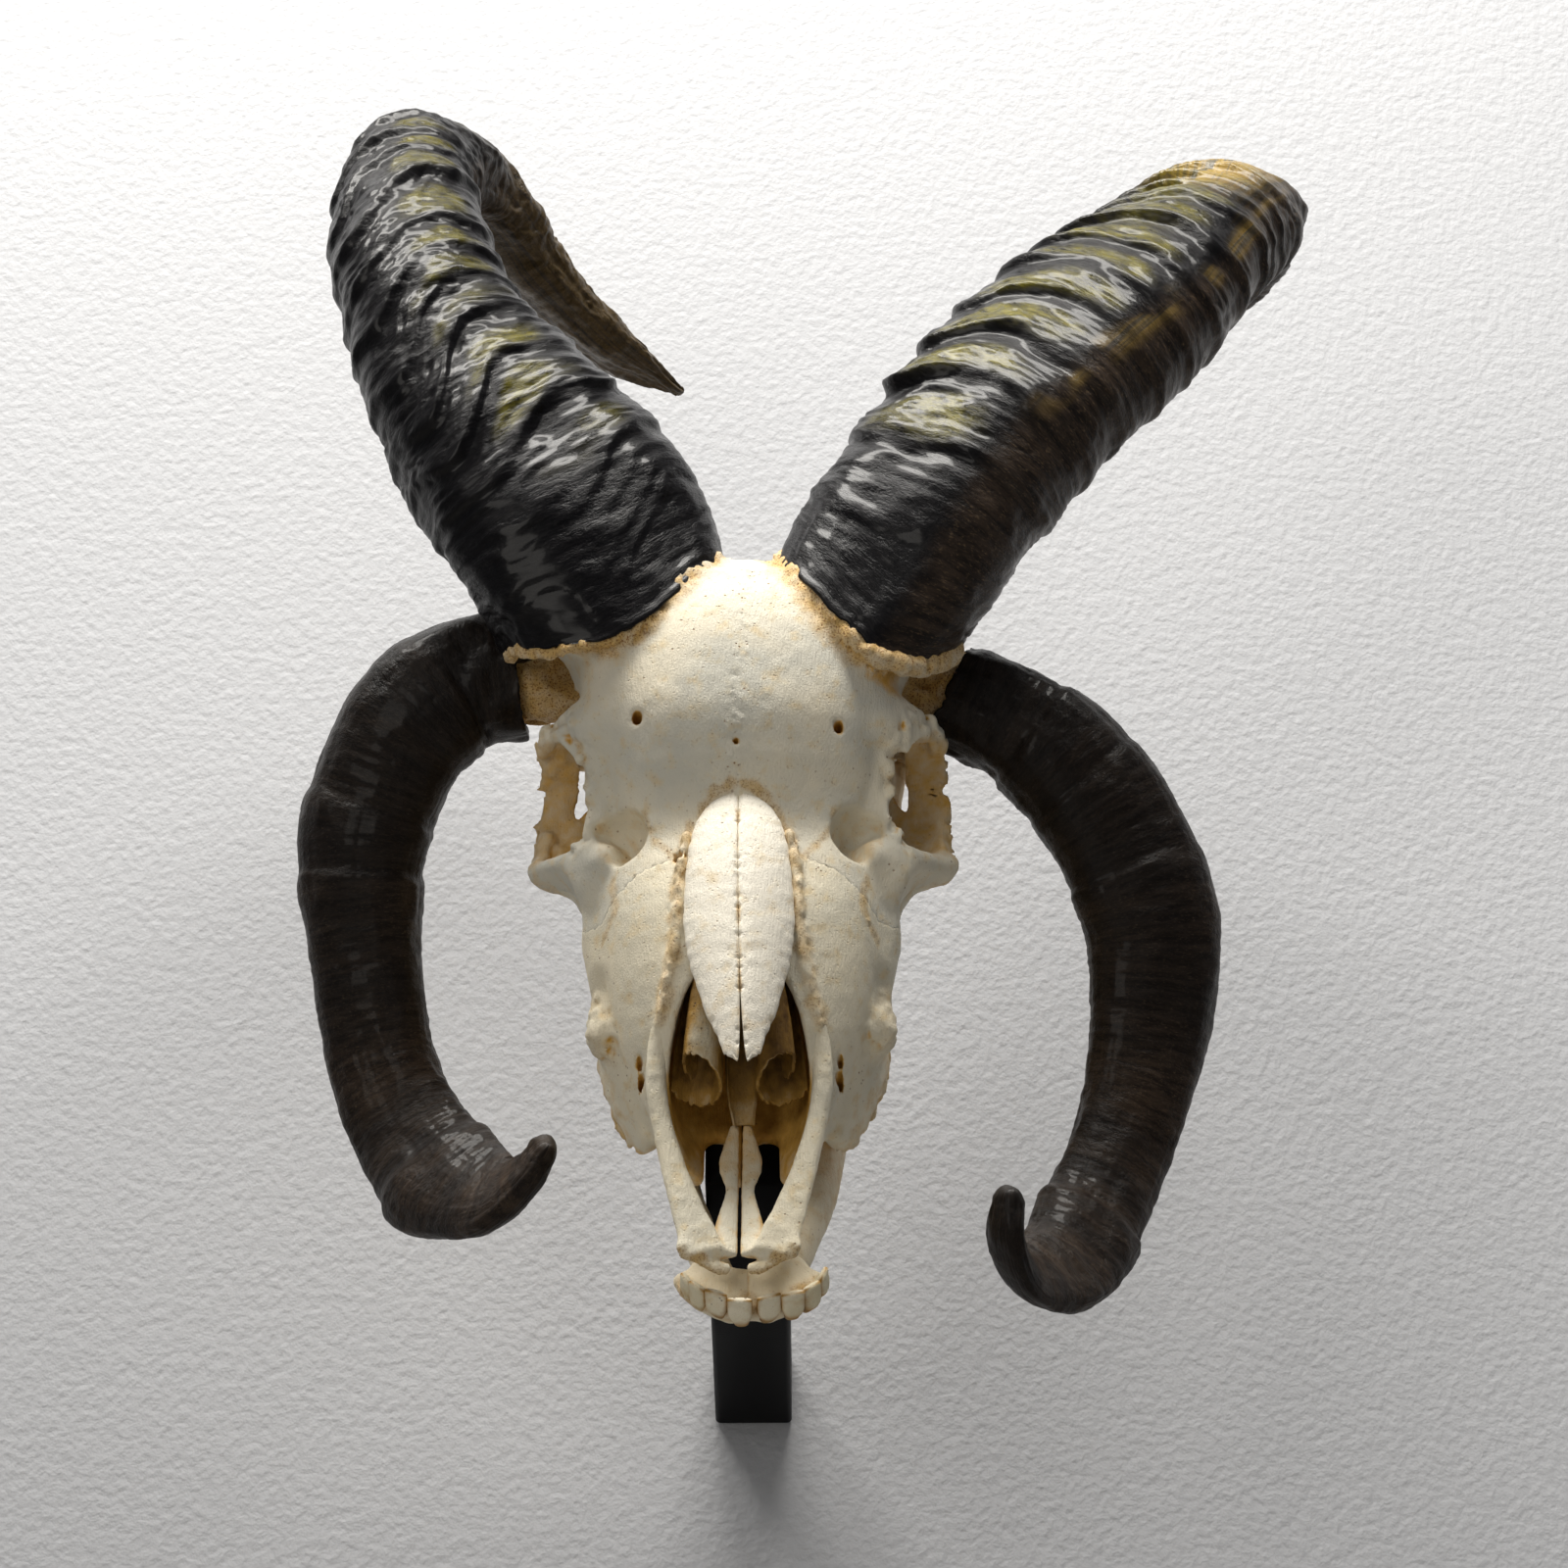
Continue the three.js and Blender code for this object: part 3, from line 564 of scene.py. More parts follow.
# ---------------------------------------------------------------- lower horns
# Two horns that grow out sideways below the tall ones and hang beside the cheeks, flattened
# and curled in at the tip. Browner keratin with a silky grain of fine fibres and rings.

HORN_LOWER_LEFT = {
    "front": (0, -1, 0), "rag": 1.0,
    "spine": [
        (65, 40, 53, 17, 16), (87, 42, 43, 18, 16), (105, 46, 28, 20.5, 16), (119, 52, 7, 21.5, 15),
        (127, 58, -17, 21, 14), (127, 64, -41, 19.5, 13), (123, 68, -66, 17.5, 11), (116, 68, -89, 16, 9),
        (107, 60, -113, 16.5, 7.5), (97, 42, -137, 16, 6), (84, 24, -146, 13.5, 5), (79, 10, -140, 10, 4.5),
        (80, 4, -130, 6, 4),
    ],
    "rim": ((0, 0),),
}
HORN_LOWER_RIGHT = {
    "front": (0, -1, 0), "rag": 1.0,
    "spine": [
        (-71, 40, 62, 20, 17), (-89, 40, 59, 21, 17), (-105, 42, 46, 21.5, 17), (-114, 47, 30, 21, 16),
        (-120, 53, 11, 20, 15), (-120, 60, -13, 17.5, 14), (-117, 66, -37, 17, 12.5), (-113, 70, -59, 17, 11),
        (-104, 68, -81, 18.5, 9), (-91, 54, -103, 19, 7.5), (-76, 36, -115, 15, 6), (-65, 24, -113, 10, 5),
        (-59, 18, -107, 6, 4),
    ],
    "rim": ((0, 0),),
}


def lower_relief(ledges, seed):
    """The lower horns' height: a few low ledges, soft folds, and fine rings and fibres."""
    def relief(along, angle, straight):
        place = along + 3.0 * grain(straight, (20, 20, 30), seed)
        steps = sum(tall * ease(-2, 2, place - at) * (1 - ease(2, 26, place - at)) for at, tall in ledges)
        folds = 0.8 * grain(straight, (16, 16, 22), seed + 1) + 0.35 * grain(straight, (7, 7, 6), seed + 2)
        rings = 0.2 * grain(straight, (16, 16, 2.0), seed + 3) + 0.1 * grain(straight, (8, 8, 0.9), seed + 4)
        fibres = 0.12 * grain(straight, (1.3, 1.3, 30), seed + 5)
        knots = 1.4 * (1 - ease(8, 34, along)) * grain(straight, (8, 8, 7), seed + 6)
        return steps + folds + rings + fibres + knots
    return relief


def lower_shade(along, angle, own):
    """No olive and no tan, and a brown flank in bands that is strongest half way down."""
    flank = 0.35 + 0.65 * ease(60, 150, along) * (1 - ease(250, 275, along))
    bands = 0.6 + 0.4 * grain(own * (0.3, 0.3, 1), (18, 18, 5), 46)
    flank = flank * (0.7 + 0.3 * grain(own, (18, 18, 26), 45)) * (1 - 0.6 * hump(130, 22, along)) * bands
    return np.stack([np.zeros_like(along), np.zeros_like(along), flank], axis=-1)


brown_horn = horn_material(
    "brown_ram_horn_keratin",
    dark=("#090706", "#120f0e", "#221c18"), worn=("#5b5a22", "#7a7430", "#38381c"),
    tip=("#4a3e30", "#2c2520"), side=("#2b2018", "#4c3d30", "#72604a"), gloss=(0.3, 0.2), coat=0.08)

LOWER_STEP, LOWER_COLUMNS = 0.8, 130
LEDGES_LEFT = ((30, 1.6), (52, 1.0), (84, 0.8), (205, 1.6))  # distance along the horn, and height
LEDGES_RIGHT = ((24, 1.2), (70, 1.0), (92, 1.3), (196, 1.6))
horn_piece("horn_lower_left_sheath", HORN_LOWER_LEFT, lower_relief(LEDGES_LEFT, 51),
           lower_shade, brown_horn, "horn_lower_left", LOWER_STEP, LOWER_COLUMNS)
horn_piece("horn_lower_right_sheath", HORN_LOWER_RIGHT, lower_relief(LEDGES_RIGHT, 61),
           lower_shade, brown_horn, "horn_lower_right", LOWER_STEP, LOWER_COLUMNS)

# ---------------------------------------------------------------- cranium
# The frontal, parietal, occipital, temporal, lacrimal and cheek bones of an adult, knit into one.
# Whitened museum bone: ivory and chalky on the face, amber where it is thin or sheltered, which is
# partly the bone's own colour and partly painted shade, with spongy burrs round the horns. It is cut
# in two behind the sockets, along the line of a suture.


class Bone:
    """A bone as a field on a lattice: below 0 inside it, and about the distance in millimetres."""

    def __init__(self, low, high, cell):
        self.low = np.array(low, dtype=float)
        self.cell = cell
        counts = np.ceil((np.array(high) - self.low) / cell).astype(int) + 1
        self.axes = [start + cell * np.arange(count) for start, count in zip(self.low, counts)]
        self.field = np.full(counts, 9.0, dtype=np.float32)

    def window(self, box, spare):
        """The part of the lattice round a box, and its points."""
        parts = [slice(*np.clip(np.searchsorted(axis, (low - spare, high + spare)), 0, len(axis)))
                 for axis, low, high in zip(self.axes, *box)]
        points = np.meshgrid(*[axis[part] for axis, part in zip(self.axes, parts)], indexing="ij")
        return tuple(parts), [p.astype(np.float32) for p in points]

    def add(self, shape, blend=3.0):
        """Joins a shape on, with a fillet about as wide as blend."""
        distance, box = shape
        part, points = self.window(box, blend + 4)
        if self.field[part].size:
            here = self.field[part]
            there = distance(*points)
            fillet = np.maximum(blend - np.abs(here - there), 0)
            self.field[part] = np.minimum(here, there) - fillet * fillet / (4 * blend)

    def carve(self, shape, blend=3.0):
        """Cuts a shape away, with its edge rounded about as wide as blend."""
        distance, box = shape
        part, points = self.window(box, blend + 4)
        if self.field[part].size:
            here = self.field[part]
            there = -distance(*points)
            fillet = np.maximum(blend - np.abs(here - there), 0)
            self.field[part] = np.maximum(here, there) + fillet * fillet / (4 * blend)

    def roughen(self, size, tall, seed):
        """Moves the surface in and out by noise of that spacing and height."""
        near = np.nonzero(np.abs(self.field) < 2.5)
        points = np.stack([axis[k] for axis, k in zip(self.axes, near)], axis=-1)
        self.field[near] += tall * grain(points, size, seed).astype(np.float32)

    def jag(self, line, reach, size, tall, seed):
        """Breaks up the surface near a line through the points, most strongly on it."""
        line = np.array(line, dtype=float)
        part, points = self.window((line.min(axis=0), line.max(axis=0)), reach)
        at = np.stack(points, axis=-1)
        near = np.abs(self.field[part]) < 3
        away = line_distance(at[near], line, (0, 1, 2))
        tear = tall * (1 - ease(reach * 0.3, reach, away)) * grain(at[near], size, seed)
        self.field[part][near] += tear.astype(np.float32)

    def sample(self, points):
        """The field between lattice points, by weights along the three axes."""
        q = np.clip((points - self.low) / self.cell, 0, np.array(self.field.shape) - 1.001)
        low = q.astype(int)
        f = q - low
        total = np.zeros(len(points))
        for corner in np.ndindex(2, 2, 2):
            i, j, k = (low + corner).T
            total += self.field[i, j, k] * np.prod(np.where(corner, f, 1 - f), axis=-1)
        return total

    def slope(self, points):
        """The field's gradient, from samples half a cell to each side."""
        half = self.cell * 0.5
        return np.stack([(self.sample(points + step) - self.sample(points - step)) / (2 * half)
                         for step in half * np.eye(3)], axis=-1)

    def shelter(self, points, normals):
        """How closed in each point is, from 0 to 1: by the field at steps along its normal."""
        open_share = [np.clip(self.sample(points + normals * step) / step, 0, 1) for step in (2.5, 5, 8)]
        return 1 - np.mean(open_share, axis=0)

    def surface(self):
        """Points and quads of the surface, and its outward normals.

        Each lattice cell that the surface crosses has one point, at the mean of the crossings on
        its edges, and each crossed edge has a quad between the four cells round it. The points are
        then slid onto the surface along the field's gradient, and only the largest body is kept.
        """
        cells = np.array(self.field.shape) - 1
        keys, places, rings = [], [], []
        for axis in range(3):
            ends = [slice(None)] * 3
            ends[axis] = slice(None, -1)
            start = self.field[tuple(ends)]
            ends[axis] = slice(1, None)
            stop = self.field[tuple(ends)]
            at = np.argwhere((start < 0) != (stop < 0))
            one, two = start[tuple(at.T)], stop[tuple(at.T)]
            place = at.astype(float)
            place[:, axis] += one / (one - two)
            second, third = (axis + 1) % 3, (axis + 2) % 3
            round_edge = []
            for back_two, back_three in ((1, 1), (0, 1), (0, 0), (1, 0)):
                cell = at.copy()
                cell[:, second] -= back_two
                cell[:, third] -= back_three
                fits = ((cell >= 0) & (cell < cells)).all(axis=1)
                round_edge.append(np.where(fits, cell @ (cells[1] * cells[2], cells[2], 1), -1))
            ring = np.stack(round_edge, axis=-1)
            keys.append(ring.ravel())
            places.append(np.repeat(place, 4, axis=0))
            whole = (ring >= 0).all(axis=1)
            rings.append(np.where((one < 0)[:, None], ring, ring[:, ::-1])[whole])
        keys, places = np.concatenate(keys), np.concatenate(places)
        used, index = np.unique(keys[keys >= 0], return_inverse=True)
        count = np.bincount(index)
        points = np.stack([np.bincount(index, weights=places[keys >= 0, k]) / count for k in range(3)], axis=-1)
        points = self.low + points * self.cell
        quads = np.searchsorted(used, np.concatenate(rings))

        body = np.arange(len(points))
        while True:
            lowest = np.repeat(body[quads].min(axis=1), 4)
            joined = body.copy()
            np.minimum.at(joined, quads.ravel(), lowest)
            joined = joined[joined]
            if (joined == body).all():
                break
            body = joined
        kept = body == np.bincount(body).argmax()
        quads = (np.cumsum(kept) - 1)[quads[kept[quads[:, 0]]]]
        points = points[kept]
        for _ in range(2):
            slope = self.slope(points)
            steep = np.maximum((slope**2).sum(axis=1), 0.05)
            step = np.clip(self.sample(points) / steep, -self.cell, self.cell)
            points = points - 0.8 * step[:, None] * slope
        normals = self.slope(points)
        return points, quads, normals / np.maximum(np.linalg.norm(normals, axis=1, keepdims=True), 1e-6)


def egg(middle, half, power=2.0):
    """A superellipsoid. Its distance is (q - 1) / slope of q, where q is 1 on the surface."""
    def distance(x, y, z):
        parts = [np.abs(value - m) / h for value, m, h in zip((x, y, z), middle, half)]
        q = np.maximum(sum(part**power for part in parts), 1e-6) ** (1 / power)
        steep = sum((part ** (power - 1) / h) ** 2 for part, h in zip(parts, half)) ** 0.5 * q ** (1 - power)
        return (q - 1) / np.maximum(steep, 1 / max(half))
    return distance, (np.subtract(middle, half), np.add(middle, half))


def limb(spine, front, power=2.3, step=4.0):
    """Superellipse rings carried along a smooth spine, with rounded ends.

    Each row of the spine is (x, y, z, half width, half thickness), and front is the side that the
    thickness starts towards. Between two stations every point is measured against the ring at its
    own place along the chord.
    """
    _, centre, across, through, _, half = spine_frames(spine, front, step)
    wide = half.max()
    box = (centre.min(axis=0) - wide, centre.max(axis=0) + wide)

    def distance(x, y, z):
        nearest = np.full(x.shape, 99.0, dtype=np.float32)
        for i in range(len(centre) - 1):
            chord = centre[i + 1] - centre[i]
            length = np.linalg.norm(chord)
            away = [value - c for value, c in zip((x, y, z), centre[i])]
            t = np.clip(sum(a * c for a, c in zip(away, chord)) / length**2, 0, 1)
            away = [a - t * c for a, c in zip(away, chord)]
            sides = [across[i] + across[i + 1], through[i] + through[i + 1], chord]
            sizes = [half[i, k] + t * (half[i + 1, k] - half[i, k]) for k in range(2)]
            sizes.append(np.minimum(*sizes))
            parts = [np.abs(sum(a * s for a, s in zip(away, side / np.linalg.norm(side)))) / size
                     for side, size in zip(sides, sizes)]
            q = np.maximum(sum(part**power for part in parts), 1e-6) ** (1 / power)
            steep = sum((part ** (power - 1) / size) ** 2 for part, size in zip(parts, sizes)) ** 0.5
            steep = np.maximum(steep * q ** (1 - power), 1 / np.maximum(sizes[0], sizes[1]))
            nearest = np.minimum(nearest, (q - 1) / steep)
        return nearest
    return distance, box


def stack(levels, power=2.5):
    """Level superellipses about the mid-plane. Each row is (z, middle y, half width, half depth)."""
    levels = np.array(sorted(levels), dtype=float)
    heights = levels[:, 0]

    def distance(x, y, z):
        level = z[0, 0]
        fine = np.interp(level, heights, np.linspace(0, 1, len(heights)))
        middle, wide, deep = curve(levels, fine)[:, 1:].T.astype(np.float32)
        q = ((np.abs(x) / wide) ** power + (np.abs(y - middle) / deep) ** power) ** (1 / power)
        q = np.maximum(q, 1e-3)
        steep = (((np.abs(x) / wide) ** (power - 1) / wide) ** 2
                 + ((np.abs(y - middle) / deep) ** (power - 1) / deep) ** 2) ** 0.5 * q ** (1 - power)
        ends = np.maximum(heights[0] - z, z - heights[-1])
        return np.maximum((q - 1) / np.maximum(steep, 1 / np.maximum(wide, deep)), ends)
    wide = levels[:, 2].max()
    deep = (levels[:, 1] - levels[:, 3]).min(), (levels[:, 1] + levels[:, 3]).max()
    return distance, ((-wide, deep[0], heights[0]), (wide, deep[1], heights[-1]))


def slab(axis, low, high):
    """Everything between two planes square to an axis."""
    def distance(*point):
        return np.maximum(low - point[axis], point[axis] - high)
    box = np.array([(-999.0,) * 3, (999.0,) * 3])
    box[:, axis] = low, high
    return distance, box


def mirrored(field_half):
    """A lattice of x >= half a cell, with its mirror image put before it."""
    field_half.field = np.concatenate([field_half.field[::-1], field_half.field])
    field_half.axes[0] = np.concatenate([-field_half.axes[0][::-1], field_half.axes[0]])
    field_half.low[0] = field_half.axes[0][0]
    return field_half


def line_distance(points, line, axes=(0, 2)):
    """Distance from points to a line of straight stretches, seen along the axis that is left out."""
    flat = points[:, axes]
    line = np.array(line, dtype=float)
    nearest = np.full(len(flat), 999.0)
    for start, stop in zip(line[:-1], line[1:]):
        chord = stop - start
        t = np.clip((flat - start) @ chord / (chord @ chord), 0, 1)
        nearest = np.minimum(nearest, np.linalg.norm(flat - start - t[:, None] * chord, axis=1))
    return nearest


# Millimetres in the skull's own frame, on the ram's left side and mirrored. A row of levels is z,
# middle y, half width, half depth, and a row of a limb is x, y, z, half width, half thickness.
FACE_LEVELS = [
    (86, 28, 16, 20), (83, 26, 23, 22), (77, 21, 32, 24), (66, 17.5, 43, 26), (54, 16, 48, 27.5),
    (40, 15, 49, 27.5), (26, 16, 46, 28), (12, 20, 42.5, 28), (0, 24, 41, 27), (-10, 26, 42, 27),
    (-20, 26, 43.5, 29), (-36, 25, 43, 30), (-55, 24, 40.5, 28), (-74, 24, 36, 25), (-90, 24, 29.5, 20), (-104, 25, 24, 14),
    (-114, 25, 20, 9),
]
OCCIPUT = [(0, 36, 87, 28, 6), (0, 46, 84, 37, 8), (0, 60, 77, 37, 9), (0, 74, 66, 20, 8)]
BASICRANIUM = [(0, 72, 68, 13, 6), (0, 61, 27, 11, 6), (0, 51, -7, 10, 6)]
SUPRAORBITAL = [(43, 6, 29, 7, 6), (51, 11.5, 32, 5.5, 4), (57, 19, 31.5, 4, 3), (61.5, 27, 29.5, 3, 2.4)]
POSTORBITAL = [(56, 20, 33, 5, 2.4), (57.2, 32, 27, 6.4, 1.6), (57.8, 42, 14, 6.4, 1.4),
               (58.6, 40, -5, 6.4, 2.0)]
ORBIT_WALL = [(43, 46, 30, 3, 3), (45.6, 45, 17, 2.6, 2), (48.5, 43, 7, 4.5, 2), (48, 38, -6, 6, 4)]
MALAR = [(63, 38, -9, 2.2, 2), (56, 29, -11, 3.5, 3), (48, 21, -13, 4, 5), (40, 17, -14, 5, 8)]
MALAR_RIM = [(64.5, 38, -6, 1.1, 1.4), (58, 29, -8.5, 1.2, 1.6), (52, 21, -10, 1.3, 1.7),
             (47, 16, -10, 1.3, 1.5)]
LACRIMAL_RIM = [(46, 7, 29, 2.5, 5), (43.5, 10, 19, 2.6, 4.6), (43, 12, 9, 2.6, 4.4), (43, 13.5, -1, 2.6, 4.2),
                (45.5, 16, -9, 2.6, 3.4)]
ORBIT_FLANGE = [(56.5, 14, 29, 1.2, 1.2), (52.5, 11, 25.5, 2.6, 1.5), (49, 10, 20, 1.8, 1.5)]
CHEEK_SHELF = [(58, 38, -10, 3, 4), (50, 32, -16, 5, 7), (44, 28, -28, 5, 8), (40, 27, -44, 4, 8)]
ORBIT = [(68, 23, 14, 21.5, 18.5), (47, 29, 15, 17, 15), (30, 38, 16, 8, 9)]
ARCH = [(61, 40, -3, 5, 2.4), (61, 48, 18, 5, 2.4), (54, 50, 37, 5, 3), (38, 48, 47, 7, 5)]
GLENOID = [(36, 46, 44, 9, 7), (52, 47, 43, 9, 4)]
PAROCCIPITAL = [(30, 66, 66, 6, 5), (31, 84, 59, 5, 4), (30, 97, 54, 2.5, 2)]
CAVITY_LEVELS = [
    (-40, 14, 6, 10), (-44, 14, 8, 12), (-56, 12, 14, 18), (-70, 10, 18.5, 24), (-86, 10, 21, 27),
    (-100, 8, 20, 27), (-112, 6, 17, 24), (-124, 4, 14, 22),
]
FACIAL_CREST = [(50, 33, -20, 4, 3), (43, 30, -34, 5, 4), (41, 28, -52, 4, 4), (42.5, 27, -66, 4, 5)]
CHEEK_WALL = [(29, 38, -96, 3, 6), (33.5, 38, -80, 5, 11), (37, 40, -62, 6, 14), (38, 42, -40, 6, 14),
              (36, 44, -24, 6, 12)]
ALVEOLAR = [(31.5, 46, -92, 3, 5), (36.5, 46, -80, 4, 9), (38.5, 48, -66, 5, 12), (37, 57, -42, 6, 12),
            (33, 62, -18, 7, 10)]
ALVEOLAR_EDGE = [(30, 52, -97), (35, 53, -90), (39, 52, -80), (41, 54, -68), (42, 60, -50)]
PALATINE_FISSURE = [(7.4, 28, -101, 4.1, 24), (7.4, 26, -131, 4.1, 24)]
ORBIT_RIM = [(61, 25, 31), (56, 14, 31), (50, 7.5, 28), (48, 9.5, 19), (47, 12, 9), (47, 14, -2),
             (49, 17, -8)]
FRONTO_LACRIMAL = [(29.6, 3.1, -3.1), (28.1, 3.2, -8), (25.6, 1.9, -12.9), (21.9, -0.2, -17.2),
                   (18.8, -1.7, -21.8)]
TUBER_LINE = [(43, 27, -60), (44, 26, -72)]
# Rounded masses and hollows: the middle, then the half sizes.
BRAINCASE = (0, 40, 56), (38, 34, 35), 2.2
CHEEK_TUBER = (42, 28, -66), (3.4, 7, 5.5)
TEMPORAL_HOLLOW = (53, 40, 34), (13, 12, 13)
LACRIMAL_FOSSA = (36.8, 7.5, -9), (9.2, 11, 9.6)
SOCKET_FLOOR = (45, 20, -17), (7, 6, 9)
CHEEK_HOLLOW = (64, 30, -26), (15, 15, 14)
OCCIPITAL_CONDYLE = (14, 75, 73), (8, 9, 11)
EAR_BULLA = (23, 70, 46), (9, 10, 11)
SPINE_OPENING = (0, 76, 84), (9, 16, 12)
MALAR_SUTURE = [(38.7, 9.1, -23.2), (37.3, 6.8, -32.4), (39.5, 9.9, -37.5), (41.3, 15.3, -41.6)]
# Degrees round the rims of the tall horns, from the inner side, where spongy bone shows.
FRINGE_LEFT = np.linspace(15, 205, 14)
FRINGE_RIGHT = np.linspace(165, -25, 14)
# Where that bone starts to hang, in degrees, and how far it hangs.
FRINGES = ((FRINGE_LEFT, 0, 3.4, HORN_UPPER_LEFT), (FRINGE_RIGHT, 165, 2.0, HORN_UPPER_RIGHT))
RIM_MARKS = ((FRINGE_LEFT, 11, HORN_UPPER_LEFT), (FRINGE_RIGHT, 8, HORN_UPPER_RIGHT))
STUMP_HOLLOWS = [(-57, 25.5, 55, 5), (-50, 25, 44, 4), (52, 26, 45, 2), (57, 27, 52, 2.4),
                 (54, 26.5, 59, 1.8)]
NASAL_CROWN = [(2.1, -4, 3.4), (6.5, -3.4, 1.4), (10.5, -2.5, -3), (14.6, -1.5, -10.5)]
MID_SUTURE = [(3.3, -2, 83.6), (1.6, -9.5, 53.4), (-0.1, -12, 32.4), (-0.8, -8.8, 14.1), (-0.9, -5, 3)]
SUTURE_HOLES = [(-17.9, -1, -20.5, 1.6), (-0.5, -8.3, 15.5, 0.9)]
POSTORBITAL_EDGE = [(62, 17, 39), (63.5, 31, 31), (64, 42, 14), (65, 41, -5)]
NASAL_SEAM = [(15.5, -2.2, -13), (17.6, -3.4, -24), (18.6, -4, -40), (20, -2.4, -54), (22.4, 0, -65),
              (24, 2.4, -73)]
FRONTAL_FORAMENS = [(-30.9, -7, 25.0), (30.6, -7, 21.4)]
INFRAORBITAL = [(30.2, 12.5, -81.4, 0.9, 6, 2.0), (29.7, 19, -85.6, 1.2, 9, 2.1)]
# Each horn's root on the skull, then its stump's centre at the rim and half sizes there.
HORN_ROOTS = (
    ((22, 24, 46), (38.5, 17, 73), (26, 18), HORN_UPPER_LEFT),
    ((-22, 24, 46), (-34.5, 17, 70), (26, 18), HORN_UPPER_RIGHT),
    ((34, 38, 54), (64, 40, 53), (14.5, 13.5), HORN_LOWER_LEFT),
    ((-34, 38, 54), (-70, 40, 62), (15, 13), HORN_LOWER_RIGHT),
)
STUMP_IN_HORN = 6  # how far each stump is built on past the rim
# Edges that are torn and sutures that show: the line, how far the tear reaches from it, the
# noise's spacing and height, and its seed.
TORN_LINES = (
    (ORBIT_RIM, 6, 2.6, 2.3, 82), (POSTORBITAL_EDGE, 4, 1.6, 1.3, 86),
    ([row[:3] for row in POSTORBITAL], 11, (3.5, 3.5, 5), 1.6, 111),
    (ALVEOLAR_EDGE, 12, (2.2, 2.2, 3.4), 2.0, 90), (NASAL_SEAM, 3.5, (1.3, 1.3, 2.0), 0.7, 94),
    (NASAL_CROWN, 2.5, 1.2, 0.7, 115), (TUBER_LINE, 12, (1.8, 1.8, 2.4), 0.8, 98),
    (FRONTO_LACRIMAL, 1.8, 1.1, 0.5, 103), (MALAR_SUTURE, 2.2, 1.2, 0.5, 106),
)
# Lines that are stained tan: how strongly, how wide, and the seed of their ragged edge.
TAN_LINES = (
    (FRONTO_LACRIMAL, 0.5, 1.6, 121), (MALAR_SUTURE, 0.5, 2.2, 122), (NASAL_SEAM, 0.6, 3.4, 123),
    (TUBER_LINE, 0.2, 9, 124), (NASAL_CROWN, 0.7, 2.6, 129), (ALVEOLAR_EDGE, 0.35, 9, 125),
    (ORBIT_RIM, 0.3, 2.2, 126),
)


def rim_line(horn, inset, up, degrees):
    """The line under a sheath's rim at these angles, drawn in by inset and moved up the horn."""
    _, centre, across, through, tangent, half = spine_frames(horn["spine"], horn["front"], 1.0)
    v = np.radians(degrees)[:, None]
    reach = horn_section(v)
    shift = up - np.interp(degrees, *np.transpose(horn["rim"]), period=360)[:, None]
    return (centre[0] + across[0] * (half[0, 0] - inset) * np.cos(v) * reach
            + through[0] * (half[0, 1] - inset) * np.sin(v) * reach + tangent[0] * shift)


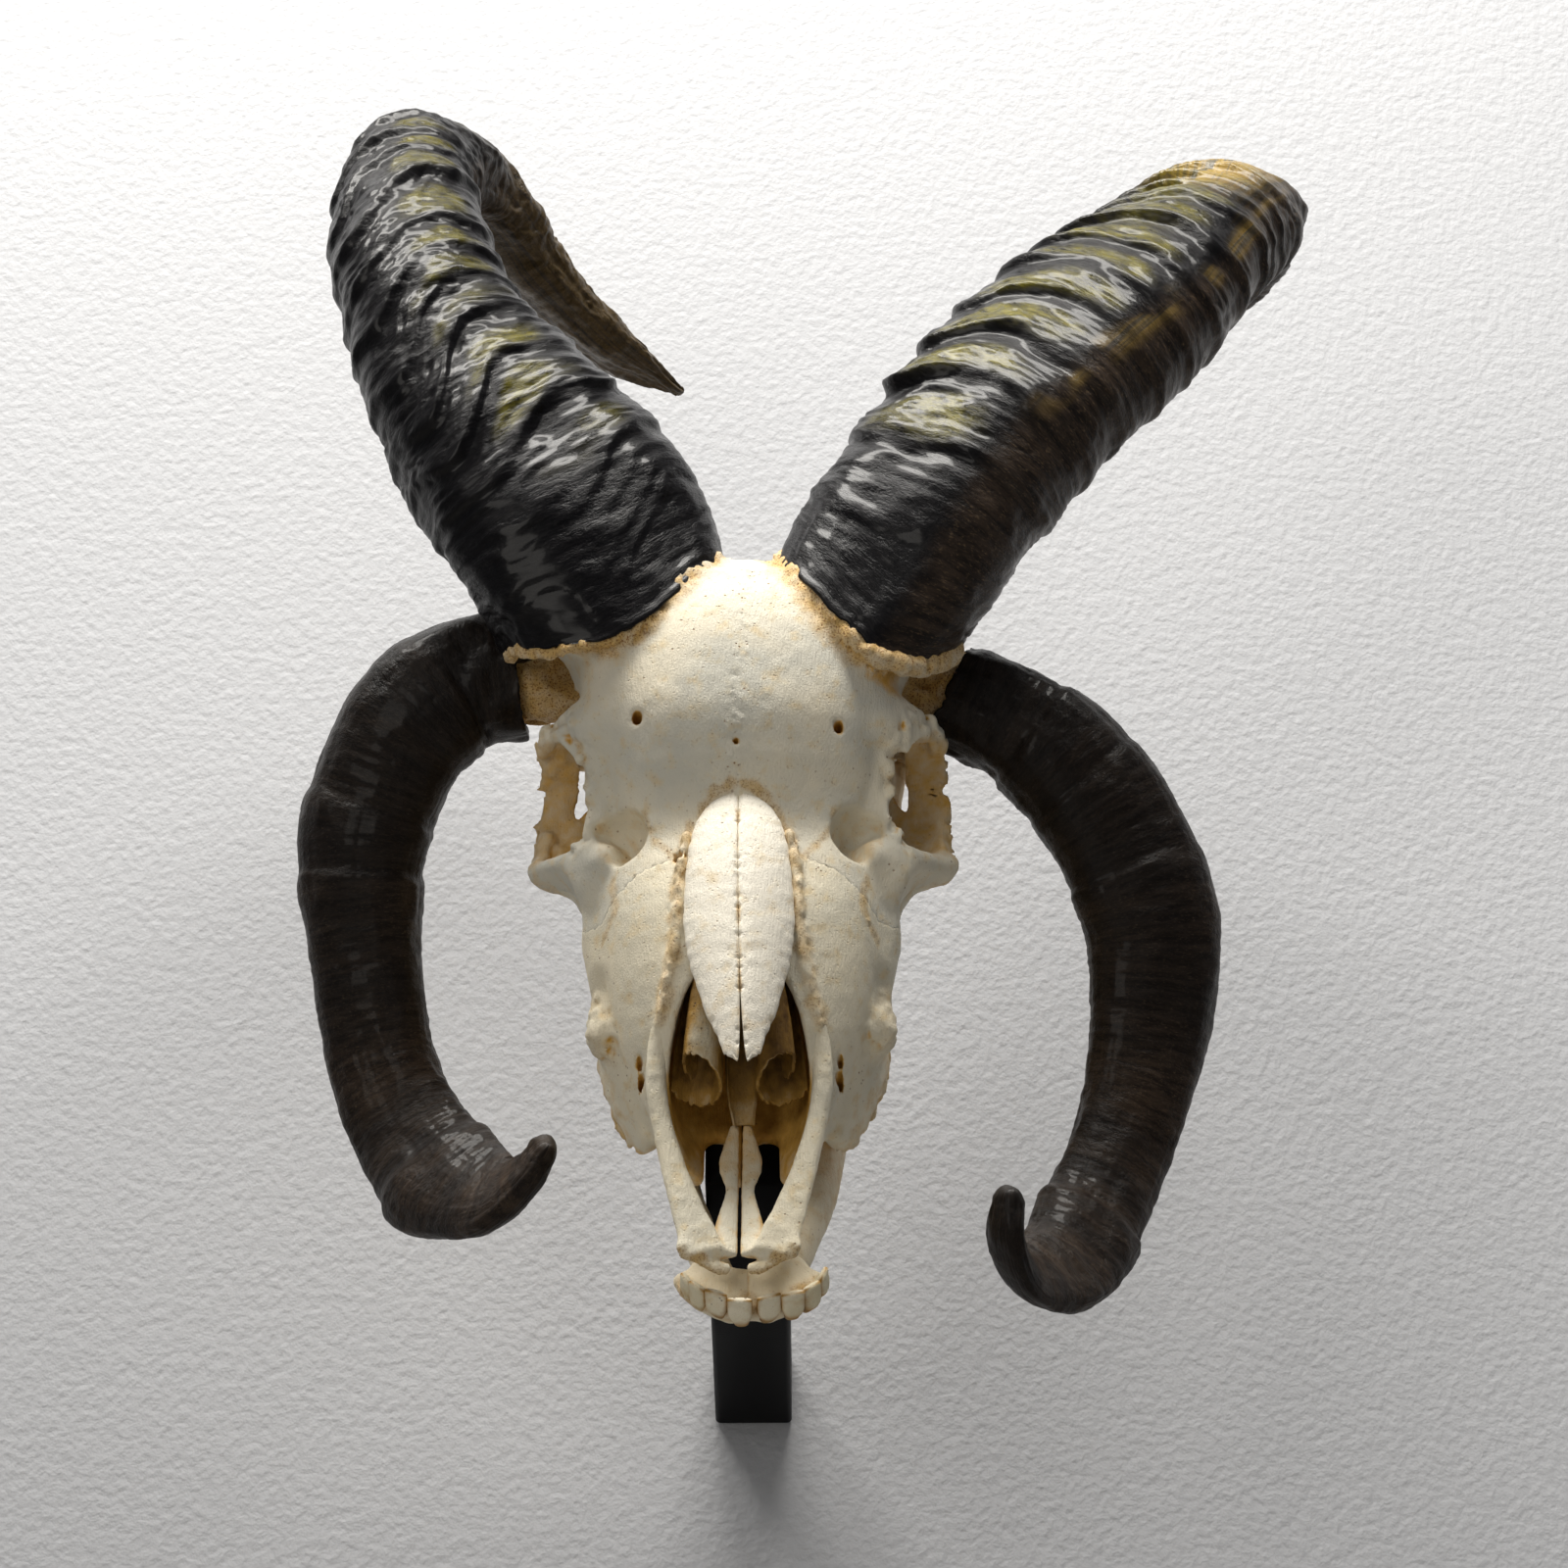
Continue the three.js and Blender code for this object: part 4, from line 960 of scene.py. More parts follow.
def skull_field(low, high, cell):
    """The cranium and upper jaw as one field on a lattice, both sides of the mid-plane.

    One half is built and mirrored. Its lattice starts half a cell off the mid-plane, so low's x
    isn't used.
    """
    bone = Bone((cell / 2, low[1], low[2]), high, cell)
    bone.add(stack(FACE_LEVELS), 1)
    bone.add(egg(*BRAINCASE), 8)
    bone.add(limb(OCCIPUT, (0, 0, 1), 2.6), 8)
    bone.add(limb(BASICRANIUM, (0, 1, 0)), 8)
    bone.add(limb(CHEEK_WALL, (0, -1, 0)), 8)
    bone.add(limb(ALVEOLAR, (0, -1, 0)), 8)
    bone.add(limb(FACIAL_CREST, (0, -1, 0)), 6)
    bone.add(egg(*CHEEK_TUBER), 5)
    bone.carve(limb(ORBIT, (0, 0, 1)), 2.5)
    bone.carve(egg(*TEMPORAL_HOLLOW), 4)
    bone.add(limb(LACRIMAL_RIM, (1, 0, 0)), 3)
    bone.carve(egg(*LACRIMAL_FOSSA), 1.5)
    bone.add(limb(SUPRAORBITAL, (0, -1, 0)), 6)
    bone.add(limb(POSTORBITAL, (0, -0.6, -1), 3), 2.5)
    bone.add(limb(ORBIT_FLANGE, (0, -1, 0), 2, 2), 3)
    bone.add(limb(ORBIT_WALL, (0, -1, 0)), 4)
    bone.add(limb(MALAR, (0, -1, 0)), 5)
    bone.add(limb(CHEEK_SHELF, (0, -1, 0)), 8)
    bone.add(egg(*SOCKET_FLOOR), 6)
    bone.carve(egg(*CHEEK_HOLLOW), 6)
    bone.add(limb(MALAR_RIM, (0, -1, 0)), 4)
    bone.add(limb(ARCH, (1, 0, 0)), 3)
    bone.add(limb(PAROCCIPITAL, (0, 0, 1)), 4)
    bone.add(limb(GLENOID, (0, 1, 0)), 4)
    bone.add(egg(*OCCIPITAL_CONDYLE), 4)
    bone.add(egg(*EAR_BULLA), 3)
    bone.carve(egg(*SPINE_OPENING), 3)
    bone.carve(stack(CAVITY_LEVELS), 2)
    bone.carve(limb(PALATINE_FISSURE, (0, 1, 0)), 3)
    bone.add(limb([(x, y, z, 1.4, 1.5) for x, y, z in NASAL_SEAM], (0, -1, 0), 2, 3), 2)
    bone = mirrored(bone)
    for root, rim, half, horn in HORN_ROOTS:
        base, further = (np.array(row[:3], dtype=float) for row in horn["spine"][:2])
        out = (further - base) / np.linalg.norm(further - base)
        stump = [(*root, half[0] * 0.75, half[1] * 0.75), (*(np.array(rim) - out), *half),
                 (*(np.array(rim) + STUMP_IN_HORN * out), half[0] * 0.85, half[1] * 0.85)]
        bone.add(limb(stump, horn["front"], 2.3, 5), 6)
    for degrees, inner, fringe, horn in FRINGES:
        loop = rim_line(horn, 8, 6, degrees)
        bone.add(limb(np.hstack([loop, np.full((len(loop), 2), 6.0)]), (0, -1, 0), 2, 9), 10)
        outer = ease(95, 140, np.abs(degrees - inner))[:, None]
        burr = rim_line(horn, 2.6, 0.6, degrees) - (0, 0, fringe) * outer
        thick = 1.3 + (fringe - 1.3) * outer
        bone.add(limb(np.hstack([burr, thick, thick]), (0, -1, 0), 2, 6), 4)
        bone.jag(burr, 8, (1.5, 1.5, 3.6), 1.1, 81)
    for root, rim, *_ in HORN_ROOTS[2:]:
        bone.jag([root, rim], 34, 6.0, 1.7, 101)
        bone.jag([root, rim], 34, 2.0, 0.9, 102)
    for x, y, z, wide in STUMP_HOLLOWS:
        bone.carve(egg((x, y, z), (wide, 4.5, wide * 0.8)), 3)
    for x, y, z in FRONTAL_FORAMENS:
        bone.carve(egg((x, y, z), (1.5, 9, 2.1)), 0.6)
        groove = [(x, y - 2.2, z - 1, 1.4, 1), (x, y - 0.4, z - 8, 2.4, 1.2),
                  (x * 1.02, y + 1.2, z - 20, 2.4, 0.6)]
        bone.carve(limb(groove, (0, -1, 0)), 3)
    for side in (1, -1):
        for x, y, z, *half in INFRAORBITAL:
            bone.carve(egg((side * x, y, z), half), 0.8)
        for line, reach, size, tall, seed in TORN_LINES:
            bone.jag(np.array(line) * (side, 1, 1), reach, size, tall, seed + side)
    bone.jag(MID_SUTURE, 4.0, (1.3, 1.3, 1.0), 0.5, 109)
    for x, y, z, wide in SUTURE_HOLES:
        bone.carve(egg((x, y, z), (wide, 4, wide)), 0.5)
    return bone


def upper_suture(x, y, z):
    """Above 0 on the cranium's side of the suture with the upper jaw, which dips down the cheek."""
    dip = np.interp(np.abs(x), (14, 18, 30, 38, 42), (5, 7, 11, 17, 22))
    dip = dip + 0.5 * np.sin(2.1 * x + np.sin(0.9 * y))
    return z + 13 + dip * (1 - ease(20, 38, y))


def side_of_suture(keep_above, gap):
    """The half of space beyond the suture with the upper jaw, as a shape to carve."""
    def distance(x, y, z):
        away = upper_suture(x, y, z)
        return away - gap if keep_above else -away - gap
    return distance, ((-999.0,) * 3, (999.0,) * 3)


FACE_CUT = 45  # the seam between the cranium's two pieces lies at this depth
SUTURE_GAP = -0.8  # below 0, because cranium and upper jaw lap over each other
face_bone = skull_field((-94, -16, -48), (94, 50, 100), 0.92)
face_bone.carve(slab(1, FACE_CUT, 200), 1)
face_bone.carve(side_of_suture(True, SUTURE_GAP), 0.3)
face_bone.roughen(3.0, 0.12, 71)
face_points, face_quads, face_normals = face_bone.surface()
back_bone = skull_field((-94, 40, -20), (94, 106, 100), 1.05)
back_bone.carve(slab(1, -99, FACE_CUT + 0.4), 1)
back_bone.carve(side_of_suture(True, SUTURE_GAP), 0.3)
back_bone.roughen(3.0, 0.15, 72)
back_points, back_quads, back_normals = back_bone.surface()


NO_TRIANGLES = np.zeros((0, 3), int)


def bone_piece(name, points, quads, material, node_name, tone, triangles=NO_TRIANGLES):
    """Hangs a piece of the skull, with its own millimetres and its tone kept for the material."""
    piece = add_mesh(name, hung(points), quads, triangles, material, {"own": points, "tone": tone})
    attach(piece, "root")
    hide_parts(node_name)


def tones(amber, tan, pits):
    """Three masks for bone in one: amber, partly painted shade, where it is closed in; tan at sutures and
    burrs; pitted.
    """
    return np.stack(np.broadcast_arrays(amber, tan, pits), axis=-1)


def near_line(points, line, reach, seed):
    """1 on a line through the skull's points, fading to 0 at a ragged distance of about reach."""
    line = np.array(line, dtype=float)
    both_sides = np.hstack([np.abs(points[:, :1]), points[:, 1:]]) if line[:, 0].min() > 2 else points
    away = line_distance(both_sides, line, (0, 1, 2)) + 0.5 * reach * grain(points, reach, seed)
    return 1 - ease(0.3 * reach, reach, away)


def skull_tone(bone, points, normals):
    """The cranium's and upper jaw's masks, by the places of their sockets, sutures and burrs."""
    x, y, z = points.T
    # The amber mask is the bone's own amber with painted shade: it grows where the bone is closed in, in the
    # eye sockets, in the lacrimal hollows, and further back.
    amber = ease(0.32, 0.95, bone.shelter(points, normals))
    socket = np.sqrt(((np.abs(x) - 60) / 23) ** 2 + ((y - 30) / 22) ** 2 + ((z - 13) / 21) ** 2)
    amber = np.maximum(0.75 * amber, 0.42 * (1 - ease(0.7, 1.1, socket)) * ease(8, 18, y))
    amber = np.maximum(amber, 0.4 * ease(26, 60, y))
    fossa = np.sqrt(((np.abs(x) - 36.6) / 9) ** 2 + ((y - 9) / 9) ** 2 + ((z + 9) / 9.5) ** 2)
    amber = np.maximum(amber, 0.17 * (1 - ease(0.75, 1.05, fossa)))
    tan = np.max([share * near_line(points, line, reach, seed) for line, share, reach, seed in TAN_LINES],
                 axis=0)
    for degrees, fringe, horn in RIM_MARKS:
        burr = rim_line(horn, 3, 0, degrees)
        tan = np.maximum(tan, 1 - ease(fringe * 0.3, fringe, line_distance(points, burr, (0, 1, 2))
                                       + 1.5 * grain(points, 2.5, 127)))
    for root, rim, *_ in HORN_ROOTS[2:]:
        stump = np.array([np.array(root) * 0.35 + np.array(rim) * 0.65, rim])
        tan = np.maximum(tan, 1 - ease(15, 21, line_distance(points, stump, (0, 1, 2))))
    pits = 0.25 + 0.75 * near_line(points, MID_SUTURE, 4.5, 128)
    pits = np.maximum(pits, 0.8 * ease(0.25, 0.8, tan))
    return tones(amber, tan, pits)


def bone_material(name, pale, cool, warm, amber, deep, tan, rust):
    """Bleached bone: chalky and matt outside, with pores 0.3 to 0.6 mm wide and a grain of fibres.

    Its colours go by three masks that the mesh carries. Where it is closed in or thin it turns
    amber and then deep brown: partly the bone's own unbleached colour and partly painted shade;
    sutures and spongy burrs are tan, and their pores hold rust-brown dirt.
    """
    bone = new_material(name, Roughness=0.62, IOR=1.5, Specular_IOR_Level=0.35)
    own = node(bone, "Attribute", attribute_name="own").outputs["Vector"]
    tone = node(bone, "SeparateXYZ", {0: node(bone, "Attribute", attribute_name="tone").outputs["Vector"]})

    def noise(scale, detail=3.0, stretch=(1, 1, 1)):
        place = node(bone, "Mapping", {"Vector": own, "Scale": stretch}).outputs[0]
        return node(bone, "TexNoise", {"Vector": place, "Scale": scale, "Detail": detail}).outputs["Fac"]

    def ramp(value, low, high, start=0.0, stop=1.0):
        return node(bone, "MapRange", {"Value": value, "From Min": low, "From Max": high,
                                       "To Min": start, "To Max": stop}).outputs["Result"]

    def times(one, other):
        return node(bone, "Math", {0: one, 1: other}, operation="MULTIPLY").outputs[0]

    def mix(fac, one, other):
        return node(bone, "MixRGB", {"Fac": fac, "Color1": one, "Color2": other}).outputs["Color"]

    cloud, mottle, grit = noise(0.035, 3.0), noise(0.22, 4.0), noise(1.7, 3.0)
    fibre = noise(1.0, 4.0, (1.6, 1.6, 0.22))
    pore = node(bone, "TexVoronoi", {"Vector": own, "Scale": 0.62}).outputs["Distance"]
    pock = node(bone, "TexVoronoi", {"Vector": own, "Scale": 0.33}).outputs["Distance"]
    base = mix(ramp(cloud, 0.38, 0.62), linear(cool), linear(pale))
    base = mix(ramp(mottle, 0.5, 0.8, 0, 0.45), base, linear(warm))
    # Painted shade on top of the bone's own amber: the closed-in mask turns it amber, then deep brown.
    closed = node(bone, "Math", {0: tone.outputs["X"], 1: ramp(mottle, 0.2, 0.8, -0.22, 0.22)},
                  operation="ADD", use_clamp=True).outputs[0]
    base = mix(ramp(closed, 0.05, 0.6), base, linear(amber))
    base = mix(ramp(closed, 0.55, 1.0), base, linear(deep))
    stained = times(tone.outputs["Y"], ramp(mottle, 0.25, 0.6, 0.55, 1.0))
    base = mix(stained, base, linear(tan))
    base = mix(times(tone.outputs["Y"], ramp(grit, 0.5, 0.68)), base, linear(rust))
    dirt = times(times(ramp(pore, 0.24, 0.13), ramp(mottle, 0.44, 0.56)), tone.outputs["Z"])
    base = mix(times(dirt, 0.85), base, linear(rust))
    spots = times(ramp(pock, 0.14, 0.08), ramp(cloud, 0.5, 0.6))
    base = mix(times(spots, 0.7), base, linear(rust))

    height = node(bone, "Math", {0: times(grit, 0.55), 1: fibre}, operation="ADD").outputs[0]
    height = node(bone, "Math", {0: height, 1: times(dirt, -1.4)}, operation="ADD").outputs[0]
    height = node(bone, "Math", {0: height, 1: times(spots, -1.2)}, operation="ADD").outputs[0]
    bump = node(bone, "Bump", {"Height": height, "Strength": 0.55, "Distance": 0.0006}).outputs["Normal"]
    rough = ramp(fibre, 0.2, 0.8, 0.5, 0.75)
    surface_links(bone, Base_Color=base, Roughness=rough, Normal=bump)
    return bone


# The muzzle's and the nose's copies of this bone are paler and warmer than the cranium's: painted light where
# they face up into the lamp, and painted shade on the brow under the horns.
bleached_bone = bone_material("bleached_skull_bone", "#eee4cc", "#d5d1c2", "#e3d2a6", "#d9aa52", "#97691f",
                              "#cfab69", "#8a5a26")
muzzle_bone = bone_material("bleached_muzzle_bone_painted_lighter", "#f1e6cb", "#e0d8c2", "#e5d19f", "#d9aa52", "#97691f",
                            "#cfab69", "#8a5a26")
bone_piece("cranium_face", face_points, face_quads, bleached_bone, "cranium",
           skull_tone(face_bone, face_points, face_normals))
bone_piece("cranium_back", back_points, back_quads, bleached_bone, "cranium",
           skull_tone(back_bone, back_points, back_normals))

# ---------------------------------------------------------------- maxillae
# The upper jaw bones: thin, almost flat side walls of the muzzle with a rough tuber on each cheek,
# a palate between them, and the nasal cavity, which is amber inside, partly as painted shade. Both
# come from one field.

muzzle = skull_field((-62, -8, -118), (62, 84, -8), 0.85)
muzzle.carve(side_of_suture(False, SUTURE_GAP), 0.3)
muzzle.roughen(3.0, 0.12, 71)
for side, hand in ((1, "left"), (-1, "right")):
    half = Bone(muzzle.low, [axis[-1] for axis in muzzle.axes], muzzle.cell)
    half.field = muzzle.field.copy()
    half.carve(slab(0, *((-99, 0.15) if side > 0 else (-0.15, 99))), 0.5)
    points, quads, normals = half.surface()
    tone = skull_tone(muzzle, points, normals)
    # Painted shade: amber inside the nasal cavity, on the faces that turn forward or towards the mid-plane
    # there, stronger in the cavity's upper part.
    inwards = ease(-0.2, 0.4, -normals[:, 1]) + ease(0.2, -0.4, side * normals[:, 0])
    hollow = (1 - ease(21, 25, np.abs(points[:, 0]))) * ease(4, 12, points[:, 1]) * np.minimum(inwards, 1)
    tone[:, 0] = np.maximum(tone[:, 0], hollow * (0.5 + 0.25 * ease(-112, -90, points[:, 2])))
    bone_piece("maxilla_" + hand + "_bone", points, quads, muzzle_bone, "maxilla_" + hand, tone)


def both_halves(points, quads):
    """The ram's left half as it is and the right half as its mirror image, faces still outwards."""
    yield "left", points, quads
    yield "right", points * (-1, 1, 1), quads[:, ::-1]


# ---------------------------------------------------------------- upper cheek teeth
# Six teeth in a row on each side, worn flat: each is two crescent columns of enamel, yellow-brown
# where the tartar stayed and the gum ended, and where they are closed in, as painted shade.

UPPER_ROW = [(30, 50, -88, 4.6, 8), (31, 58, -62, 5.6, 9), (32, 66, -38, 6.1, 9), (31.5, 72, -19, 5.4, 7.5)]
LOWER_ROW = [(26, 60.5, -91, 3.8, 7), (28.5, 70, -65, 4.6, 8), (30.5, 79, -40, 5.1, 8), (32, 86.5, -19, 4.8, 8)]


def tooth_row(row, seed):
    """Twelve crescent columns along a row, in pairs, whose outer sides stand out as ribs."""
    places = curve(np.array(row, dtype=float), np.linspace(0.02, 0.98, 12))
    teeth = Bone(places[:, :3].min(axis=0) - 12, places[:, :3].max(axis=0) + 12, 0.8)
    for i, (x, y, z, wide, tall) in enumerate(places):
        z += 0.45 * (-1) ** i
        teeth.add(egg((x, y, z), (wide, tall, 3.3), 3.2), 0.8)
        teeth.add(egg((x + wide - 0.6, y, z), (1.2, tall - 0.8, 1.2), 2.4), 0.8)
    teeth.roughen((1.5, 5, 1.5), 0.3, seed)
    return teeth


tooth_enamel = bone_material("tooth_enamel_and_tartar", "#f3e9cf", "#e0d3ae", "#d6b978", "#b98c42", "#6a4717",
                             "#a8823f", "#6b431a")
JAW_SHIFT = 2.5  # the lower jaw hangs this far to the ram's left
for rows, jaw_name, slot_name, shift in (
        (UPPER_ROW, "maxilla_", "bone", 0), (LOWER_ROW, "mandible_", "jaw_bone", JAW_SHIFT)):
    teeth = tooth_row(rows, 131)
    row_points, row_quads, row_normals = teeth.surface()
    # Tartar stain by noise, plus painted shade where the teeth are closed in.
    tartar_and_shade = 0.35 + 0.5 * grain(row_points, (6, 3, 6), 132) + teeth.shelter(row_points, row_normals)
    tartar_and_shade = np.clip(tartar_and_shade, 0, 1)
    for hand, points, quads in both_halves(row_points, row_quads):
        bone_piece("cheek_teeth_" + jaw_name + hand, points + (shift, 0, 0), quads, tooth_enamel,
                   jaw_name + hand, tones(tartar_and_shade, 0.3 * tartar_and_shade, 0.4))

# ---------------------------------------------------------------- nasals
# The roof of the nose: two arched blades side by side, that meet in a row of small stitches and
# end in blunt, frayed tips. Warm cream and paler than the rest: partly painted light, because they
# face up into the lamp, and partly bone that bleached the most.

NASAL_ROWS = [  # z, outer edge, inner edge, crown y, drop to the edge
    (3.0, 2.4, 0.03, -1.6, 0.5), (1.2, 5.4, 0.03, -2.8, 1.2), (-2, 8.8, 0.03, -4.0, 2.2),
    (-8, 12.4, 0.03, -6.4, 3.4),
    (-16, 14.7, 0.03, -9.0, 4.8), (-30, 16.2, 0.03, -12.4, 6.4), (-46, 16.6, 0.03, -14.6, 7.4),
    (-58, 15.0, 0.03, -15.6, 7.2), (-68, 12.4, 0.1, -16.2, 5.8), (-76, 10.2, 0.25, -16.4, 4.2),
    (-83, 7.4, 0.5, -16.2, 2.4), (-89, 5.6, 0.9, -15.8, 1.0), (-91.5, 4.6, 1.5, -15.6, 0.6),
]


def nasal_blade(rows, thick, stations, columns):
    """An arched blade: a rounded strip from the inner to the outer edge, carried down the nose.

    Across it, depth falls from the crown with the 2.2th power of the way out. Its outline round the
    strip is a superellipse, squarer across than through. Its edges are notched by noise, more at
    the tip, and the inner one dips into a stitch about every 3.9 mm.
    """
    t = np.linspace(0, 1, stations)
    z, outer, inner, crown, drop = curve(np.array(rows), t).T[:, :, None]
    v = np.linspace(0, 2 * np.pi, columns, endpoint=False)
    across = np.sign(np.cos(v)) * np.abs(np.cos(v)) ** 0.32
    through = np.sign(np.sin(v)) * np.abs(np.sin(v)) ** 0.6
    x = inner + (outer - inner) * (1 + across) / 2
    thin = thick * np.clip((outer - inner) / 8, 0.35, 1)
    front = through > 0
    y = crown + drop * (x / np.maximum(outer, 1)) ** 2.2 - through * thin / 2 + thin / 2
    stitch = (0.5 + 0.5 * np.cos(2 * np.pi * z / 3.9 + 1.6 * np.sin(z / 5))) ** 5
    stitch = stitch * (1 - ease(0.3, 1.5, x - inner))
    y = y + front * (0.7 * stitch * ease(-0.6, 0.4, grain(z[..., None] * (0, 0, 1), 5.0, 147))
                     + 0.05 * (1 - ease(0, 1.3, x - inner)))
    points = np.stack(np.broadcast_arrays(x, y, z), axis=-1)
    rough = 0.13 * grain(points, 3.0, 141) + 0.10 * grain(points, (1.2, 1.2, 2.4), 142)
    points[..., 1] += front * rough
    frayed = (ease(-84, -91, z) * 1.3 + 0.25) * grain(points * (1, 0, 0.5), (1.5, 9, 3), 143)
    points[..., 2] += frayed * ease(-60, -90, z)
    points[..., 0] += 0.2 * grain(points * (0, 0, 1), (1, 1, 2.2), 144) * ease(0.3, 1, across)
    poles = points[[0, -1]].mean(axis=1)
    quads, fans = grid_faces(stations, columns)
    return np.vstack([points.reshape(-1, 3), poles]), quads, fans


# Paler than the other bone: partly painted light, on blades that face up into the lamp.
nasal_bone = bone_material("nasal_bone_cream_and_painted_light", "#f7f0df", "#efe8d8", "#eadcbc", "#d0ac68", "#80591f",
                           "#d0b27a", "#8a6030")
nasal_points, nasal_quads, nasal_fans = nasal_blade(NASAL_ROWS, 3.0, 260, 96)
NASAL_LEAN = 1.6  # the tips bend this far towards the ram's left
nasal_edge = ease(1.0, 0.2, np.abs(nasal_points[:, 0])) * (nasal_points[:, 2] > -80)
nasal_amber = 0.3 * ease(-70, -92, nasal_points[:, 2]) * ease(-0.3, 0.6, grain(nasal_points, 3, 145))
nasal_tan = 0.75 * nasal_edge * ease(-0.2, 0.4, grain(nasal_points, (2, 2, 3.6), 146))
nasal_tone = tones(0.02 + nasal_amber, nasal_tan + 0.4 * ease(-2, 2, nasal_points[:, 2]), 0.3)
for side, hand in ((1, "left"), (-1, "right")):
    bent = nasal_points * (side, 1, 1)
    bent[:, 0] += NASAL_LEAN * (np.minimum(bent[:, 2], 0) / 90) ** 2
    bone_piece("nasal_" + hand + "_bone", bent, nasal_quads[:, ::side], nasal_bone,
               "nasal_" + hand, nasal_tone, nasal_fans[:, ::side])

# ---------------------------------------------------------------- premaxillae
# The front of the upper jaw, which has no teeth: a bar and a slip on each side, knit to a flat
# plate at the tip whose edge is rough and tan where the lip pad sat.

PREMAXILLA_BAR = [(21.4, 1, -62, 2.2, 2.2), (24.1, 6.5, -76, 3.0, 2.9), (24.9, 9, -90, 3.1, 3.3),
                  (23, 10, -103, 3.1, 3.0), (19.3, 9.2, -118, 3.8, 2.6), (15, 7, -132, 4.9, 2.1),
                  (12.6, 5.5, -139, 5.8, 1.7), (11.2, 5.0, -145, 6.4, 1.4)]
PREMAXILLA_SLIP = [(1.9, 26, -98, 1.5, 1.3), (3.4, 22, -111, 3.1, 1.4), (2.3, 17, -121, 2.0, 1.4),
                   (3.5, 12, -132, 3.0, 1.6), (5.0, 6.4, -145, 4.6, 1.4)]
PREMAXILLA_TIP = [(3.6, 6, -150.4, 1.9, 1.0), (9.5, 5.4, -148.6, 1.9, 1.0), (16.6, 5.2, -143, 1.0, 0.8)]
LIP_PAD_EDGE = [(2.5, 6, -152), (9, 5, -150), (13.5, 5, -147), (16.5, 5, -144.5)]

snout = Bone((0.2, -6, -158), (34, 32, -54), 0.6)
snout.add(limb(PREMAXILLA_BAR, (0, -1, 0), 2.3, 3), 2)
snout.add(limb(PREMAXILLA_SLIP, (0, -1, 0), 2.3, 3), 3)
snout.add(limb(PREMAXILLA_TIP, (0, -1, 0), 2.3, 3), 3)
snout.carve(slab(0, -99, 0.35), 0.3)
snout.roughen(2.0, 0.14, 74)
snout.jag(LIP_PAD_EDGE, 3, 1.2, 0.3, 151)
snout.jag([(22, 0, -60), (24, 4, -68)], 6, 2.0, 0.7, 152)
snout_points, snout_quads, snout_normals = snout.surface()
# Painted shade with the bone's own amber: amber where the premaxilla is closed in and further back.
snout_tone = tones(
    0.4 * ease(0.2, 0.9, snout.shelter(snout_points, snout_normals)) + 0.3 * ease(12, 24, snout_points[:, 1]),
    0.85 * near_line(snout_points, LIP_PAD_EDGE, 3.6, 153) * ease(0.1, 0.7, snout_normals @ (0, -0.25, -0.97)),
    0.3)
for hand, points, quads in both_halves(snout_points, snout_quads):
    bone_piece("premaxilla_" + hand + "_bone", points, quads, muzzle_bone, "premaxilla_" + hand,
               snout_tone)

# ---------------------------------------------------------------- conchae and vomer
# Two scrolls of paper-thin bone that hang in the nasal cavity, spongy on the outside and broken
# off at an angle, and between them the trough of the vomer. Amber to brown: partly unbleached bone,
# and partly painted shade inside the nose.

CONCHA = [(9.5, 2, -52, 4, 7), (11.5, 4, -72, 6.2, 8.5), (12.8, 8, -90, 7.3, 8.5), (13, 10, -97, 6.8, 7.6)]
# How far round the scroll, in degrees from its inner side towards the nose's front, its reach as
# a share of the half size there, and how much of its end is broken off, in millimetres.
SCROLL = np.array([(-172, 1.04, 5), (-135, 1.0, 2), (-90, 1.0, 0), (-45, 1.0, 1), (0, 1.0, 5), (45, 0.98, 11),
                   (85, 0.92, 14), (120, 0.82, 14.5), (150, 0.66, 13), (185, 0.5, 10), (225, 0.42, 8),
                   (265, 0.4, 9)])


def strip_along(spine, front, step, profile, thick, broken):
    """A strip of even thickness whose open profile is carried along a spine.

    profile holds points in the ring's own half sizes, and the strip is that line offset to both
    sides by half the thickness along its own normal. Each of its lines ends short by broken.
    """
    along, centre, across, through, _, half = spine_frames(spine, front, step)
    line = profile[None] * half[:, None, :]
    way = np.gradient(line, axis=1)
    way /= np.linalg.norm(way, axis=-1, keepdims=True)
    normal = np.stack([way[..., 1], -way[..., 0]], axis=-1)
    edge = np.sin(np.linspace(0, np.pi, line.shape[1]))[None, :, None] ** 0.25 * thick / 2
    ring = np.concatenate([line + normal * edge, (line - normal * edge)[:, ::-1]], axis=1)
    points = centre[:, None] + ring[..., :1] * across[:, None] + ring[..., 1:] * through[:, None]
    short = np.concatenate([broken, broken[::-1]]) / along[-1]
    place = np.arange(len(centre))[:, None] * (1 - short)
    low = np.minimum(place.astype(int), len(centre) - 2)
    part = (place - low)[..., None]
    column = np.arange(points.shape[1])
    return points[low, column] * (1 - part) + points[low + 1, column] * part


def signed_volume(points, quads):
    """Six times the volume inside closed quads, above 0 where they face outwards."""
    a, b, c, d = (points[quads[:, k]] for k in range(4))
    return (np.einsum("ij,ij->i", a, np.cross(b, c)) + np.einsum("ij,ij->i", a, np.cross(c, d))).sum()


